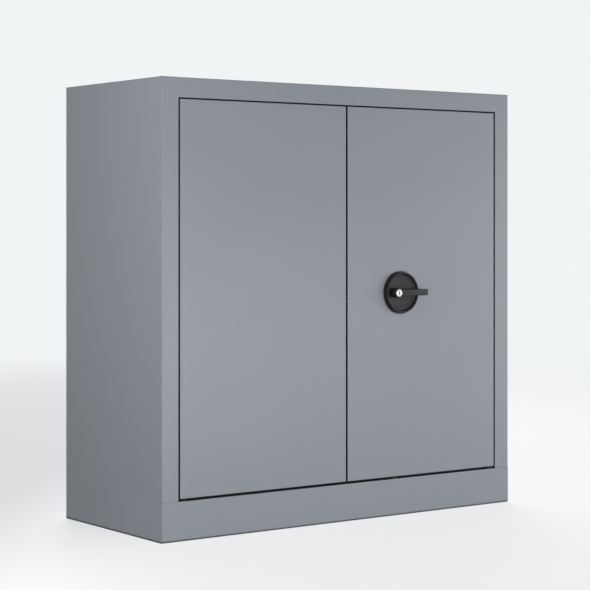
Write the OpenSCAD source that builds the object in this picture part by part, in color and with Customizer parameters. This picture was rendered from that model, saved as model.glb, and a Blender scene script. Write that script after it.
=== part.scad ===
// Low steel tool cabinet with two inset doors, a lever lock with three bolts, and two shelves.
// Millimetres. The pieces are drawn in cabinet coordinates: X from the outside of the left side,
// Y from the front face towards the back, Z from the floor. in_place() then puts the origin under
// the middle of the whole object, at floor level, with the front facing -Y.

/* [Cabinet] */
// Width over the sides
body_w = 1000; // [800:10:1200]
// Height from the floor to the top
body_h = 1000; // [800:10:1200]
// Depth from the front face to the back
body_d = 420; // [350:5:510]
// Thickness of the sheet steel
sheet_t = 1; // [0.8:0.1:1.2]
// Outside radius of a fold
bend_r = 2; // [1.8:0.1:3]

/* [Front frame] */
// Width of the front stile on each side
stile_w = 43; // [36:1:60]
// Height of the rail above the doors
rail_h = 44; // [36:1:60]
// Height of the plinth below the doors
plinth_h = 86; // [70:1:110]
// Depth of the folded returns behind the stiles and the rail
jamb_d = 30; // [28:1:40]
// Width of the lip on the end of each return
jamb_lip = 12; // [8:1:16]
// Width of the flanges at the back and the floor
flange_w = 20; // [15:1:24]
// Hairline between the foot of a stile and the plinth
weld_seam = 0.3; // [0.2:0.1:0.6]
// Side of the relief cut where folds meet
relief = 3; // [2.5:0.5:4]
// Height of the relief cut at a foot corner
foot_relief = 1; // [1:0.5:2]

/* [Doors] */
// Gap beside each hinge edge
hinge_gap = 3.5; // [3:0.1:5]
// Gap between the two doors
centre_gap = 4.5; // [3:0.1:6]
// Gap above the doors
top_gap = 2.5; // [2.4:0.1:5]
// Gap below the doors
bottom_gap = 5; // [4:0.1:7]
// Depth of a door
door_d = 20; // [20:0.5:22]
// Width of the lip around the back of a door
door_lip = 14; // [10:1:18]
// Width of the stiffener in a door
door_rib_w = 50; // [40:5:60]
// Depth of the stiffener in a door
door_rib_d = 12; // [8:1:15]

/* [Pivots] */
// Distance of a pivot from the hinge edge of its door
pivot_in = 12; // [11.5:0.1:13]
// Distance of a pivot behind the front face
pivot_back = 8; // [7.7:0.1:8.2]
// Radius of a pivot pin
pin_r = 4; // [3:0.1:4]
// Radius of the pin's threaded end
stud_r = 3; // [2.5:0.1:3]
// Radius of the flanges and washers on a pivot
pivot_flange_r = 7; // [6.5:0.1:7.2]
// Length of a pin inside its door
pin_grip = 10; // [8:1:14]
// Wall of a pivot bush
bush_wall = 1.6; // [1:0.1:1.8]
// Thickness of the bracket that carries a bush
bracket_t = 3; // [2:0.5:4]

/* [Shelves] */
// Height of a shelf's folded edge
shelf_edge = 28; // [20:1:35]
// Depth of a shelf upright
upright_d = 10; // [8:1:14]
// Width of a shelf upright
upright_w = 25; // [20:1:35]
// Distance between the slots in an upright
slot_pitch = 50; // [40:5:60]
// Slot number that carries the lower shelf
lower_slot = 5; // [4:1:6]
// Slot number that carries the upper shelf
upper_slot = 11; // [9:1:12]

/* [Handle] */
// Distance of the lever's pivot from the free edge of the right door
handle_in = 132; // [110:1:150]
// Radius of the round escutcheon
disc_r = 47.5; // [46:0.5:56]
// Distance of the escutcheon's middle from the lever's pivot
disc_offset = 23.5; // [20:0.5:26]
// Height of the escutcheon's rim above the door
disc_h = 12; // [10:0.5:13]
// Depth of the dish inside the rim
dish_depth = 6; // [4:0.5:6]
// Width of the escutcheon's rim
rim_w = 4.5; // [3:0.5:5]
// Radius of the lever's hub
hub_r = 11.5; // [11:0.1:13]
// Height of the hub's face above the door
hub_face = 25; // [24:0.5:30]
// Height of the lever arm's face above the door
arm_face = 22; // [20:0.5:23]
// Thickness of the lever arm
arm_t = 7; // [5:0.5:8]
// Height of the lever arm as seen from the front
arm_h = 14.5; // [12:0.5:18]
// Length of the lever arm from its pivot
arm_len = 91; // [80:1:105]
// Radius of the lock cylinder
cylinder_r = 8.5; // [8.4:0.1:9.5]
// Height of the lock cylinder's face above the door
cylinder_face = 26.5; // [26:0.5:31]
// Radius of the key plug
plug_r = 5.5; // [5:0.1:6]

/* [Lock] */
// Tooth module of the pinion and racks
gear_module = 2; // [1.8:0.1:2]
// Number of teeth on the pinion, a multiple of four
pinion_teeth = 12; // [12:4:12]
// Pressure angle of the teeth
pressure_angle = 20; // [18:1:22]
// Thickness of a rack or bolt bar
bar_t = 4; // [3:0.5:4]
// Width of the solid part of a rack
bar_w = 6; // [5:0.5:6]
// Radius of a lock rod
rod_r = 4; // [3:0.5:4]
// Side of the square spindle
spindle_side = 8; // [6:0.5:8]
// Thickness of the lock case's sheet
case_t = 1.5; // [1:0.5:1.5]

/* [Fits] */
// Radial clearance of a turning or sliding fit
run_gap = 0.05; // [0.03:0.01:0.1]
// Clearance between pieces that are set beside each other
set_gap = 0.3; // [0.2:0.1:0.5]
// Clearance around a rod or bolt where it passes through a hole
pass_gap = 0.6; // [0.4:0.1:1]

/* [Hidden] */
$fn = 48;

// Colours as the eye sees them
paint_grey = [0.57, 0.59, 0.62];
zinc_grey = [0.72, 0.73, 0.74];
bare_steel = [0.62, 0.62, 0.63];
handle_black = [0.16, 0.17, 0.18];
nylon_black = [0.17, 0.17, 0.18];
pin_black = [0.19, 0.19, 0.2];
rubber_black = [0.08, 0.08, 0.08];
lock_chrome = [0.85, 0.86, 0.87];

// Centreline of the sheet, measured from its face, and of a fold
half_t = sheet_t / 2;
fold_r = bend_r - half_t;

// Doors
door_w = (body_w - 2 * stile_w - 2 * hinge_gap - centre_gap) / 2;
door_z = plinth_h + bottom_gap;
door_h = body_h - rail_h - top_gap - door_z;
door_x = stile_w + hinge_gap;
rail_z = body_h - rail_h;
pivot_x = door_x + pivot_in;

// Pivots: pin flange, thrust washer and bush flange share the gap below a door
pin_flange_t = 1.2;
bush_flange_t = 1;
thrust_gap = 0.1;
nut_h = 5;
nut_flats = 10;
stud_proud = 2;
stud_len = nut_h + sheet_t + stud_proud;
bush_r = pin_r + run_gap + bush_wall;
bush_proud = 2;
bush_len = sheet_t + bracket_t + bush_proud;
bracket_len = 40;
bracket_drop = 30;

// Lever and escutcheon, from the door's front face outwards
handle_x = body_w - stile_w - hinge_gap - door_w + handle_in;
handle_z = door_z + door_h / 2;
dish_floor = disc_h - dish_depth;
journal_r = 8;
journal_room = 1;
cylinder_len = 12;
cam_room = 2.5;
cam_room_r = 7.6;
cam_len = 13;
cam_w = 4;
cam_t = 2;
key_w = 1.6;
key_h = 7;
key_depth = 8;
reach = cylinder_face;

// Escutcheon screws: polar places about the escutcheon's middle, outside the lock case
screw_places = [[36, 0], [42, 100], [42, -100]];
screw_r = 2;
screw_head_r = 3.5;
screw_head_t = 2.4;
screw_cover = 1;
ear_r = 6;
ear_end = disc_offset + screw_places[0][0] + ear_r;
rib_x = (sheet_t + bracket_len + door_w - handle_in - ear_end) / 2;
rib_end_gap = 6;

// Gear geometry: the pinion's pitch circle rolls on the racks' pitch lines
pitch_r = gear_module * pinion_teeth / 2;
tooth_pitch = PI * gear_module;
pinion_tip = 0.8 * gear_module;
rack_tip = 0.6 * gear_module;
root_gap = 0.3;
tooth_play = 0.12;
base_r = pitch_r * cos(pressure_angle);
pinion_outer_r = pitch_r + pinion_tip;
pinion_root_r = pitch_r - rack_tip - root_gap;
rack_root = pinion_tip + root_gap;
bar_in = pitch_r + rack_root;
bar_mid = bar_in + bar_w / 2;
flank_steps = 5;
throw_teeth = pinion_teeth / 4;
spare_teeth = 2;
rack_back = (throw_teeth + spare_teeth) * tooth_pitch;

// Layers of the lock behind the door's front face: the bolt runs in front of the racks
case_front = sheet_t;
case_floor = case_front + case_t;
layer_gap = 1;
cover_gap = 1.5;
bolt_y = case_floor + layer_gap;
rack_y = bolt_y + bar_t + layer_gap;
case_back = rack_y + bar_t + cover_gap;
cover_back = case_back + case_t;
pinion_gap = 0.5;
pinion_front = case_floor + pinion_gap;
pinion_back = case_back - 2 * pinion_gap;
pinion_hub_r = 7;
case_side_gap = 1;
case_end_gap = 2.5;
case_half_w = rack_back + case_t + case_side_gap;
case_half_h = rack_back + case_t + case_end_gap;
post_r = 3;
post_in = 5.5;
cover_screw_r = 1.4;
cover_head_r = 2.6;
cover_head_t = 1.6;
cover_bite = 6;
spindle_washer_t = 1;
spindle_washer_r = pinion_hub_r + 2;
spindle_head_r = 4.5;
spindle_head_t = 2.5;
spindle_bite = 5;
rod_y = rack_y + bar_t / 2;
rod_tip_in = 1.5;
socket_gap = 11;
socket_start = case_half_h + socket_gap;
socket_floor = 4;
socket_len = 16;
socket_wall = 1.8;
guide_h = 12;
guide_w = 20;
guide_from_end = 60;
bolt_z = -bar_mid;

// Shelves, uprights and stops
upright_front_in = 25;
upright_rear_in = 60;
upright_front_y = jamb_d + upright_front_in;
upright_rear_y = body_d - upright_rear_in;
upright_z = plinth_h + sheet_t;
upright_top_gap = 41;
upright_h = body_h - upright_top_gap - upright_z;
first_slot = 40;
last_slot_gap = 20;
slot_count = floor((upright_h - first_slot - last_slot_gap) / slot_pitch) + 1;
slot_w = 14;
slot_h = 6;
clip_t = 2;
clip_w = 12;
clip_ledge = 14;
clip_hook = 12;
shelf_front_gap = 10;
shelf_rear_gap = 6;
shelf_end_gap = 0.5;
shelf_y = jamb_d + shelf_front_gap;
shelf_d = body_d - 2 * sheet_t - shelf_rear_gap - shelf_y;
shelf_x = sheet_t + upright_d + shelf_end_gap;
shelf_return = 12;
frame_rib_w = 80;
frame_rib_d = 15;
rib_flange = 14;
stop_half_w = 110;
stop_leg = 26;
buffer_t = 3;
buffer_r = 6;
buffer_gap = 0.2;
buffer_from_middle = 60;
buffer_in = 7;

// Base: gussets on the floor flanges with holes for anchor bolts
ledge_d = 60;
gusset_side = 70;
gusset_t = 3;
anchor_in = 45;
anchor_r = 5.25;
flange_gap = 2;

// How far a cutting shape runs past the face that it cuts
cut = 1;

// ---------------------------------------------------------------- helpers

// Puts cabinet coordinates into the part's own frame
module in_place() {
    translate([-body_w / 2, (reach - body_d) / 2, 0]) children();
}

// Copies what is drawn for the left half to the right half
module right_hand() {
    translate([body_w, 0, 0]) mirror([1, 0, 0]) children();
}

// Extrudes an outline seen from the front, X right and Z up, between two depths
module slab(y_front, y_back) {
    translate([0, y_back, 0]) rotate([90, 0, 0]) linear_extrude(y_back - y_front) children();
}

// A cylinder along Y between two depths
module shaft(r, y_front, y_back) {
    slab(y_front, y_back) circle(r);
}

// Extrudes an outline drawn in Y and Z along X between two places
module bar_along_x(x_start, x_end) {
    translate([x_start, 0, 0]) rotate([90, 0, 90]) linear_extrude(x_end - x_start) children();
}

// Straight run of a folded strip, shortened where a fold begins or ends
module strip_run(a, b, cut_a, cut_b) {
    way = (b - a) / norm(b - a);
    side = [-way[1], way[0]] * half_t;
    start = a + way * cut_a;
    end = b - way * cut_b;
    polygon([start + side, start - side, end - side, end + side]);
}

// Right-angled fold of a strip around the corner b
module strip_fold(a, b, c) {
    into = (b - a) / norm(b - a);
    out = (c - b) / norm(c - b);
    corner = (into - out) * bend_r;
    translate(b + (out - into) * fold_r) intersection() {
        difference() {
            circle(bend_r);
            circle(bend_r - sheet_t);
        }
        polygon([[0, 0], [corner[0], 0], corner, [0, corner[1]]]);
    }
}

// Section of a sheet folded along a path of right angles, given on the sheet's centreline
module folded_strip(path) {
    last = len(path) - 1;
    for (i = [0 : last - 1])
        strip_run(path[i], path[i + 1], i == 0 ? 0 : fold_r, i == last - 1 ? 0 : fold_r);
    for (i = [1 : last - 1])
        strip_fold(path[i - 1], path[i], path[i + 1]);
}

// Section of a hat-shaped stiffener: flanges on the line y = 0, crown at y = depth
module hat_section(width, depth) {
    edge = width / 2;
    wall = edge - rib_flange;
    folded_strip([
        [-edge, half_t], [-wall, half_t], [-wall, depth - half_t],
        [wall, depth - half_t], [wall, half_t], [edge, half_t]
    ]);
}

// Outline of a box seen from one side, with its two front edges rounded
module pan_outline(length, depth, r) {
    translate([0, r]) square([length, depth - r]);
    translate([r, 0]) square([length - 2 * r, depth]);
    for (x = [r, length - r]) translate([x, r]) circle(r);
}

// Solid block with four rounded front edges, front at y = 0
module rounded_block(w, h, d, r) {
    intersection() {
        linear_extrude(h) pan_outline(w, d, r);
        bar_along_x(0, w) mirror([1, -1]) pan_outline(h, d, r);
    }
}

// ---------------------------------------------------------------- carcass

// Side sheet with its front stile, jamb, back flange and floor flange
module side_sheet() {
    stile_path = [
        [stile_w - jamb_lip, jamb_d - half_t], [stile_w - half_t, jamb_d - half_t],
        [stile_w - half_t, half_t], [half_t, half_t],
        [half_t, body_d - half_t], [flange_w, body_d - half_t]
    ];
    difference() {
        union() {
            difference() {
                linear_extrude(body_h - sheet_t) folded_strip(stile_path);
                // no stile below the top of the plinth
                translate([-cut, -cut, -cut])
                    cube([stile_w + 2 * cut, jamb_d + 2 * cut, plinth_h + weld_seam + cut]);
                // no jamb beside the rail
                translate([stile_w - jamb_lip - cut, sheet_t, rail_z])
                    cube([jamb_lip + 2 * cut, jamb_d, rail_h]);
                translate([stile_w - bend_r, -cut, rail_z])
                    cube([bend_r + cut, jamb_d + cut, rail_h]);
            }
            // skirt that closes the end of the plinth
            cube([sheet_t, jamb_d + 2 * cut, plinth_h + weld_seam]);
            // flat end of the stile that meets the rail
            translate([stile_w - bend_r, 0, rail_z])
                cube([bend_r, sheet_t, rail_h - sheet_t]);
            translate([0, flange_w + flange_gap, 0])
                cube([flange_w, body_d - 2 * flange_w - 3 * flange_gap, sheet_t]);
        }
        // reliefs at the foot, at the top of the plinth and under the top
        translate([-cut, -cut, -cut]) cube([relief + cut, bend_r + cut, foot_relief + cut]);
        translate([-cut, -cut, plinth_h]) cube([bend_r + cut, bend_r + cut, relief / 2]);
        translate([-cut, -cut, body_h - relief])
            cube([relief + cut, bend_r + cut, relief + cut]);
    }
}

module side_left() {
    color(paint_grey) in_place() side_sheet();
}

module side_right() {
    color(paint_grey) in_place() right_hand() side_sheet();
}

// Top sheet with the front rail, its return and the back flange; the return holds the upper
// pivot pins and has a hole for the top bolt
module top_panel() {
    rail_path = [
        [jamb_d - half_t, rail_z + jamb_lip], [jamb_d - half_t, rail_z + half_t],
        [half_t, rail_z + half_t], [half_t, body_h - half_t],
        [body_d - half_t, body_h - half_t], [body_d - half_t, body_h - flange_w]
    ];
    color(paint_grey) in_place() difference() {
        union() {
            bar_along_x(stile_w, body_w - stile_w) folded_strip(rail_path);
            for (x = [0, body_w - stile_w]) translate([x, 0, body_h - sheet_t])
                cube([stile_w, body_d, sheet_t]);
        }
        for (x = [-cut, body_w - relief]) translate([x, -cut, body_h - relief])
            cube([relief + cut, bend_r + cut, relief + cut]);
        for (x = [pivot_x, body_w - pivot_x]) translate([x, pivot_back, rail_z - cut])
            cylinder(h = sheet_t + 2 * cut, r = stud_r + run_gap);
        translate([handle_x - bar_mid, rod_y, rail_z - cut])
            cylinder(h = sheet_t + 2 * cut, r = rod_r + 2 * pass_gap);
    }
}

// Flat back sheet inside the side flanges
module back_panel() {
    gap = 2 * sheet_t + 2 * set_gap;
    color(paint_grey) in_place() translate([gap, body_d - 2 * sheet_t, plinth_h + set_gap])
        cube([body_w - 2 * gap, sheet_t, body_h - bend_r - set_gap - plinth_h - set_gap]);
}

// Floor sheet with edges turned down against the sides
module floor_panel() {
    edge = sheet_t + set_gap + half_t;
    front = jamb_d + set_gap;
    back = body_d - 2 * sheet_t - set_gap;
    color(paint_grey) in_place() translate([0, back, 0]) rotate([90, 0, 0])
        linear_extrude(back - front) folded_strip([
            [edge, plinth_h - flange_w], [edge, plinth_h + half_t],
            [body_w - edge, plinth_h + half_t], [body_w - edge, plinth_h - flange_w]
        ]);
}

// Plinth: a channel whose top flange carries the floor, the lower pivot pins and the bottom
// bolt's hole; its ends stay flat under the stiles
module plinth_front() {
    section = [
        [flange_w, half_t], [half_t, half_t],
        [half_t, plinth_h - half_t], [ledge_d, plinth_h - half_t]
    ];
    end_w = stile_w - sheet_t;
    color(paint_grey) in_place() difference() {
        union() {
            difference() {
                bar_along_x(sheet_t, body_w - sheet_t) folded_strip(section);
                for (x = [0, body_w - stile_w]) translate([x, -cut, plinth_h - bend_r])
                    cube([stile_w, ledge_d + 2 * cut, bend_r + cut]);
            }
            for (x = [sheet_t, body_w - stile_w]) translate([x, 0, plinth_h - bend_r])
                cube([end_w, sheet_t, bend_r]);
        }
        for (x = [pivot_x, body_w - pivot_x])
            translate([x, pivot_back, plinth_h - sheet_t - cut])
                cylinder(h = sheet_t + 2 * cut, r = stud_r + run_gap);
        translate([handle_x + bar_mid, rod_y, plinth_h - sheet_t - cut])
            cylinder(h = sheet_t + 2 * cut, r = rod_r + 2 * pass_gap);
    }
}

// Rear rail of the base, a channel inside the side flanges
module plinth_rear() {
    gap = sheet_t + bend_r + 2 * set_gap;
    back = body_d - 1.5 * sheet_t;
    color(paint_grey) in_place() bar_along_x(gap, body_w - gap) folded_strip([
        [back - flange_w, half_t], [back, half_t],
        [back, plinth_h - half_t], [back - flange_w, plinth_h - half_t]
    ]);
}

// Four plates in the corners of the base, with anchor holes
module base_gussets() {
    color(paint_grey) in_place()
        for (x = [0, 1]) for (y = [0, 1])
            translate([
                x == 0 ? bend_r + set_gap : body_w - bend_r - set_gap - gusset_side,
                y == 0 ? bend_r + set_gap : body_d - sheet_t - bend_r - set_gap - gusset_side,
                sheet_t
            ]) difference() {
                cube([gusset_side, gusset_side, gusset_t]);
                translate([
                    x == 0 ? anchor_in : gusset_side - anchor_in,
                    y == 0 ? anchor_in : gusset_side - anchor_in,
                    -cut
                ]) cylinder(h = gusset_t + 2 * cut, r = anchor_r);
            }
}

// Hat channel under the top sheet
module top_stiffener() {
    color(paint_grey) in_place() translate([0, body_d / 2, body_h - sheet_t]) mirror([0, 0, 1])
        bar_along_x(flange_w, body_w - flange_w) hat_section(frame_rib_w, frame_rib_d);
}

// Hat channel under the floor sheet
module floor_stiffener() {
    color(paint_grey) in_place() translate([0, body_d / 2, plinth_h]) mirror([0, 0, 1])
        bar_along_x(flange_w, body_w - flange_w) hat_section(frame_rib_w, frame_rib_d);
}

// ---------------------------------------------------------------- shelves

function slot_z(number) = upright_z + first_slot + number * slot_pitch;

// Slotted channel on the left side, open towards the side sheet
module upright(y) {
    color(paint_grey) translate([sheet_t, y, upright_z]) difference() {
        linear_extrude(upright_h) folded_strip([
            [0, half_t], [upright_d - half_t, half_t],
            [upright_d - half_t, upright_w - half_t], [0, upright_w - half_t]
        ]);
        for (i = [0 : slot_count - 1])
            translate([upright_d / 2, (upright_w - slot_w) / 2, first_slot + i * slot_pitch])
                cube([upright_d, slot_w, slot_h]);
    }
}

module upright_front_left() {
    in_place() upright(upright_front_y);
}

module upright_front_right() {
    in_place() right_hand() upright(upright_front_y);
}

module upright_rear_left() {
    in_place() upright(upright_rear_y);
}

module upright_rear_right() {
    in_place() right_hand() upright(upright_rear_y);
}

// Clip hooked into a slot: a ledge under the shelf, a neck and a hook behind the web
module clip(y, number) {
    web = sheet_t + upright_d;
    z = slot_z(number);
    translate([0, y + (upright_w - clip_w) / 2, z]) {
        translate([web - sheet_t - clip_t - run_gap, 0, 0])
            cube([clip_ledge + sheet_t + clip_t, clip_w, clip_t]);
        translate([web - sheet_t - clip_t - run_gap, 0, -clip_hook + clip_t])
            cube([clip_t, clip_w, clip_hook]);
    }
}

module shelf_clips() {
    color(zinc_grey) in_place()
        for (number = [lower_slot, upper_slot]) for (y = [upright_front_y, upright_rear_y]) {
            clip(y, number);
            right_hand() clip(y, number);
        }
}

// Shelf tray: its edges are turned down all round and returned at the front and the back
module shelf(number) {
    z_top = slot_z(number) + clip_t + shelf_edge;
    length = body_w - 2 * shelf_x;
    color(paint_grey) in_place() translate([shelf_x, shelf_y, z_top - shelf_edge]) {
        bar_along_x(0, length) folded_strip([
            [shelf_return, half_t], [half_t, half_t], [half_t, shelf_edge - half_t],
            [shelf_d - half_t, shelf_edge - half_t], [shelf_d - half_t, half_t],
            [shelf_d - shelf_return, half_t]
        ]);
        for (x = [0, length - sheet_t]) translate([x, sheet_t, 0])
            cube([sheet_t, shelf_d - 2 * sheet_t, shelf_edge - half_t]);
    }
}

module shelf_lower() {
    shelf(lower_slot);
}

module shelf_upper() {
    shelf(upper_slot);
}

// ---------------------------------------------------------------- pivots and stops

// Does the same for the upper pivot, upside down, as for the lower one
module at_pivots() {
    for (x = [pivot_x, body_w - pivot_x]) {
        translate([x, pivot_back, plinth_h]) children();
        translate([x, pivot_back, rail_z]) mirror([0, 0, 1]) children();
    }
}

// Pin from a frame flange into a door: gap is the room between that flange and the door
module pivot_pin(gap) {
    translate([0, 0, -stud_len]) cylinder(h = stud_len, r = stud_r);
    cylinder(h = pin_flange_t, r = pivot_flange_r);
    cylinder(h = gap + pin_grip, r = pin_r);
}

module pivot_pins() {
    color(pin_black) in_place() for (x = [pivot_x, body_w - pivot_x]) {
        translate([x, pivot_back, plinth_h]) pivot_pin(bottom_gap);
        translate([x, pivot_back, rail_z]) mirror([0, 0, 1]) pivot_pin(top_gap);
    }
}

module pivot_nuts() {
    color(zinc_grey) in_place() at_pivots() translate([0, 0, -sheet_t - nut_h]) difference() {
        cylinder(h = nut_h, r = nut_flats / 2 / cos(30), $fn = 6);
        translate([0, 0, -cut]) cylinder(h = nut_h + 2 * cut, r = stud_r + run_gap);
    }
}

// Thrust washers that carry the doors across the bottom gap
module pivot_washers() {
    height = bottom_gap - pin_flange_t - bush_flange_t - thrust_gap;
    color(nylon_black) in_place() for (x = [pivot_x, body_w - pivot_x])
        translate([x, pivot_back, plinth_h + pin_flange_t]) difference() {
            cylinder(h = height, r = pivot_flange_r);
            translate([0, 0, -cut]) cylinder(h = height + 2 * cut, r = pin_r + run_gap);
        }
}

// Angle behind the free edges of the doors; leg runs from the frame towards the doors' middle
module stop_angle() {
    leg_y = door_d + buffer_gap + buffer_t + half_t;
    bar_along_x(body_w / 2 - stop_half_w, body_w / 2 + stop_half_w) folded_strip([
        [leg_y + flange_w, half_t], [leg_y, half_t], [leg_y, stop_leg]
    ]);
}

module door_stop_bottom() {
    color(paint_grey) in_place() translate([0, 0, plinth_h]) difference() {
        stop_angle();
        // the floor sheet lies over the rear of the flange
        translate([0, jamb_d, -cut]) cube([body_w, flange_w, sheet_t + 2 * cut]);
    }
}

module door_stop_top() {
    color(paint_grey) in_place() translate([0, 0, rail_z]) mirror([0, 0, 1]) difference() {
        stop_angle();
        translate([0, jamb_d, -cut]) cube([body_w, flange_w, sheet_t + 2 * cut]);
    }
}

module door_buffers() {
    color(rubber_black) in_place()
        for (x = [-buffer_from_middle, buffer_from_middle])
            for (z = [door_z + buffer_in, door_z + door_h - buffer_in])
                translate([body_w / 2 + x, 0, z])
                    shaft(buffer_r, door_d + buffer_gap, door_d + buffer_gap + buffer_t);
}

// ---------------------------------------------------------------- doors

// Door sheet: a pan with rounded front edges and a lip round its back, hinge edge at x = 0
module door_pan() {
    inner_r = bend_r - sheet_t;
    difference() {
        rounded_block(door_w, door_h, door_d, bend_r);
        translate([sheet_t, sheet_t, sheet_t]) intersection() {
            rounded_block(door_w - 2 * sheet_t, door_h - 2 * sheet_t, door_d, inner_r);
            cube([door_w, door_d - 2 * sheet_t, door_h]);
        }
        translate([door_lip, door_d / 2, door_lip])
            cube([door_w - 2 * door_lip, door_d, door_h - 2 * door_lip]);
        for (z = [-cut, door_h - sheet_t - cut]) translate([pivot_in, pivot_back, z])
            cylinder(h = sheet_t + 2 * cut, r = bush_r + run_gap);
    }
}

// Slot for the middle bolt through the free edge of a door drawn from its hinge edge
module bolt_slot(x_start, length) {
    translate([x_start, bolt_y - pass_gap, door_h / 2 + bolt_z - bar_w / 2 - pass_gap])
        cube([length, bar_t + 2 * pass_gap, bar_w + 2 * pass_gap]);
}

// Places of the left door's and right door's own pieces
module on_left_door() {
    in_place() translate([door_x, 0, door_z]) children();
}

module on_right_door() {
    in_place() right_hand() translate([door_x, 0, door_z]) children();
}

module left_door_skin() {
    color(paint_grey) on_left_door() difference() {
        door_pan();
        bolt_slot(door_w - sheet_t - cut, sheet_t + 2 * cut);
    }
}

// The right door is drilled for the pinion's hub, the escutcheon's screws, the rods and the bolt
module right_door_skin() {
    color(paint_grey) difference() {
        on_right_door() difference() {
            door_pan();
            bolt_slot(door_w - sheet_t - cut, sheet_t + 2 * cut);
        }
        at_handle() {
            shaft(journal_r + journal_room, -cut, sheet_t + cut);
            at_screws() shaft(screw_r + set_gap, -cut, sheet_t + cut);
        }
        at_handle() for (side = [-1, 1])
            translate([side * bar_mid, rod_y, -side * (door_h / 2 - half_t) - 2 * cut])
                cylinder(h = 4 * cut, r = rod_r + pass_gap / 2);
    }
}

// Hat channel down a door, between the lock's ears and the pivot brackets
module door_stiffener() {
    end = door_lip + rib_end_gap;
    color(paint_grey) translate([rib_x, sheet_t, end])
        linear_extrude(door_h - 2 * end) hat_section(door_rib_w, door_rib_d);
}

module left_door_stiffener() {
    on_left_door() door_stiffener();
}

module right_door_stiffener() {
    on_right_door() door_stiffener();
}

// Angle inside each hinge corner of a door, with the hole for its bush
module pivot_bracket() {
    depth = door_d - sheet_t - set_gap - bend_r;
    difference() {
        translate([sheet_t, bend_r, sheet_t]) {
            cube([bracket_len, depth, bracket_t]);
            cube([bracket_t, depth, bracket_drop]);
        }
        translate([pivot_in, pivot_back, 0])
            cylinder(h = sheet_t + bracket_t + cut, r = bush_r + run_gap);
    }
}

// Flanged bush through the door's edge and its bracket
module pivot_bush() {
    difference() {
        union() {
            translate([0, 0, -bush_flange_t]) cylinder(h = bush_flange_t, r = pivot_flange_r);
            cylinder(h = bush_len, r = bush_r);
        }
        translate([0, 0, -bush_flange_t - cut])
            cylinder(h = bush_flange_t + bush_len + 2 * cut, r = pin_r + run_gap);
    }
}

// Does the same at the bottom and, upside down, at the top of a door
module at_door_ends() {
    children();
    translate([0, 0, door_h]) mirror([0, 0, 1]) children();
}

module left_door_brackets() {
    color(zinc_grey) on_left_door() at_door_ends() pivot_bracket();
}

module right_door_brackets() {
    color(zinc_grey) on_right_door() at_door_ends() pivot_bracket();
}

module left_door_bushes() {
    color(nylon_black) on_left_door() at_door_ends() translate([pivot_in, pivot_back, 0])
        pivot_bush();
}

module right_door_bushes() {
    color(nylon_black) on_right_door() at_door_ends() translate([pivot_in, pivot_back, 0])
        pivot_bush();
}

// Plate behind the slot in the left door's free edge
module bolt_keeper() {
    keeper_t = 2;
    keeper_h = 40;
    color(zinc_grey) on_left_door() difference() {
        translate([
            door_w - sheet_t - keeper_t, bend_r + set_gap,
            door_h / 2 + bolt_z - keeper_h / 2
        ]) cube([keeper_t, door_d - bend_r - sheet_t - 2 * set_gap, keeper_h]);
        bolt_slot(door_w - sheet_t - keeper_t - cut, keeper_t + 2 * cut);
    }
}

// ---------------------------------------------------------------- handle

// Places a piece on the lever's pivot: X right, Z up, Y from the door's front face
module at_handle() {
    in_place() translate([handle_x, 0, handle_z]) children();
}

// Places of the escutcheon's screws about the lever's pivot
module at_screws() {
    for (place = screw_places)
        translate([disc_offset + place[0] * cos(place[1]), 0, place[0] * sin(place[1])])
            children();
}

// Round dished plate with a rounded rim and the bearing for the lever
module escutcheon() {
    rim_r = rim_w / 2;
    color(handle_black) at_handle() difference() {
        translate([disc_offset, 0, 0]) rotate([90, 0, 0]) rotate_extrude($fn = 96) {
            square([disc_r - rim_r, dish_floor]);
            translate([disc_r - rim_w, 0]) square([rim_w, disc_h - rim_r]);
            translate([disc_r - rim_r, disc_h - rim_r]) circle(rim_r);
        }
        shaft(journal_r + run_gap, -disc_h, cut);
        at_screws() shaft(screw_r, -dish_floor + screw_cover, cut);
    }
}

module escutcheon_screws() {
    color(zinc_grey) at_handle() at_screws() {
        shaft(screw_head_r, case_floor, case_floor + screw_head_t);
        shaft(screw_r - run_gap, -dish_floor + screw_cover + set_gap, case_floor);
    }
}

// Front view of the lever: round hub and straight arm with small corner radii
module lever_outline() {
    corner = 1.5;
    circle(hub_r);
    translate([0, -arm_h / 2]) square([arm_len - corner, arm_h]);
    translate([0, -arm_h / 2 + corner]) square([arm_len, arm_h - 2 * corner]);
    for (side = [-1, 1]) translate([arm_len - corner, side * (arm_h / 2 - corner)])
        circle(corner);
}

// Lever: hub with a pocket for the lock cylinder, a socket for the spindle and a journal
module lever_handle() {
    pocket_back = -cylinder_face + cylinder_len;
    socket = spindle_side / 2 + run_gap;
    color(handle_black) at_handle() difference() {
        union() {
            shaft(hub_r, -hub_face, -dish_floor - set_gap);
            slab(-arm_face, -arm_face + arm_t) lever_outline();
            shaft(journal_r, -dish_floor - cut, -set_gap);
        }
        shaft(cylinder_r + run_gap, -hub_face - cut, pocket_back);
        slab(pocket_back - cut, cut) square(2 * socket, center = true);
    }
}

module lock_cylinder() {
    back = -cylinder_face + cylinder_len;
    color(lock_chrome) at_handle() difference() {
        shaft(cylinder_r, -cylinder_face, back);
        shaft(plug_r + run_gap, -cylinder_face - cut, back);
        shaft(cam_room_r, back - cam_room, back + cut);
    }
}

// Key plug with its keyway
module lock_plug() {
    back = -cylinder_face + cylinder_len - cam_room;
    color(lock_chrome) at_handle() difference() {
        shaft(plug_r, -cylinder_face, back);
        slab(-cylinder_face - cut, -cylinder_face + key_depth)
            square([key_w, key_h], center = true);
    }
}

// Cam on the inner end of the key plug
module lock_cam() {
    front = -cylinder_face + cylinder_len - cam_room;
    color(bare_steel) at_handle() slab(front, front + cam_t)
        square([cam_w, cam_len], center = true);
}

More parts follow.
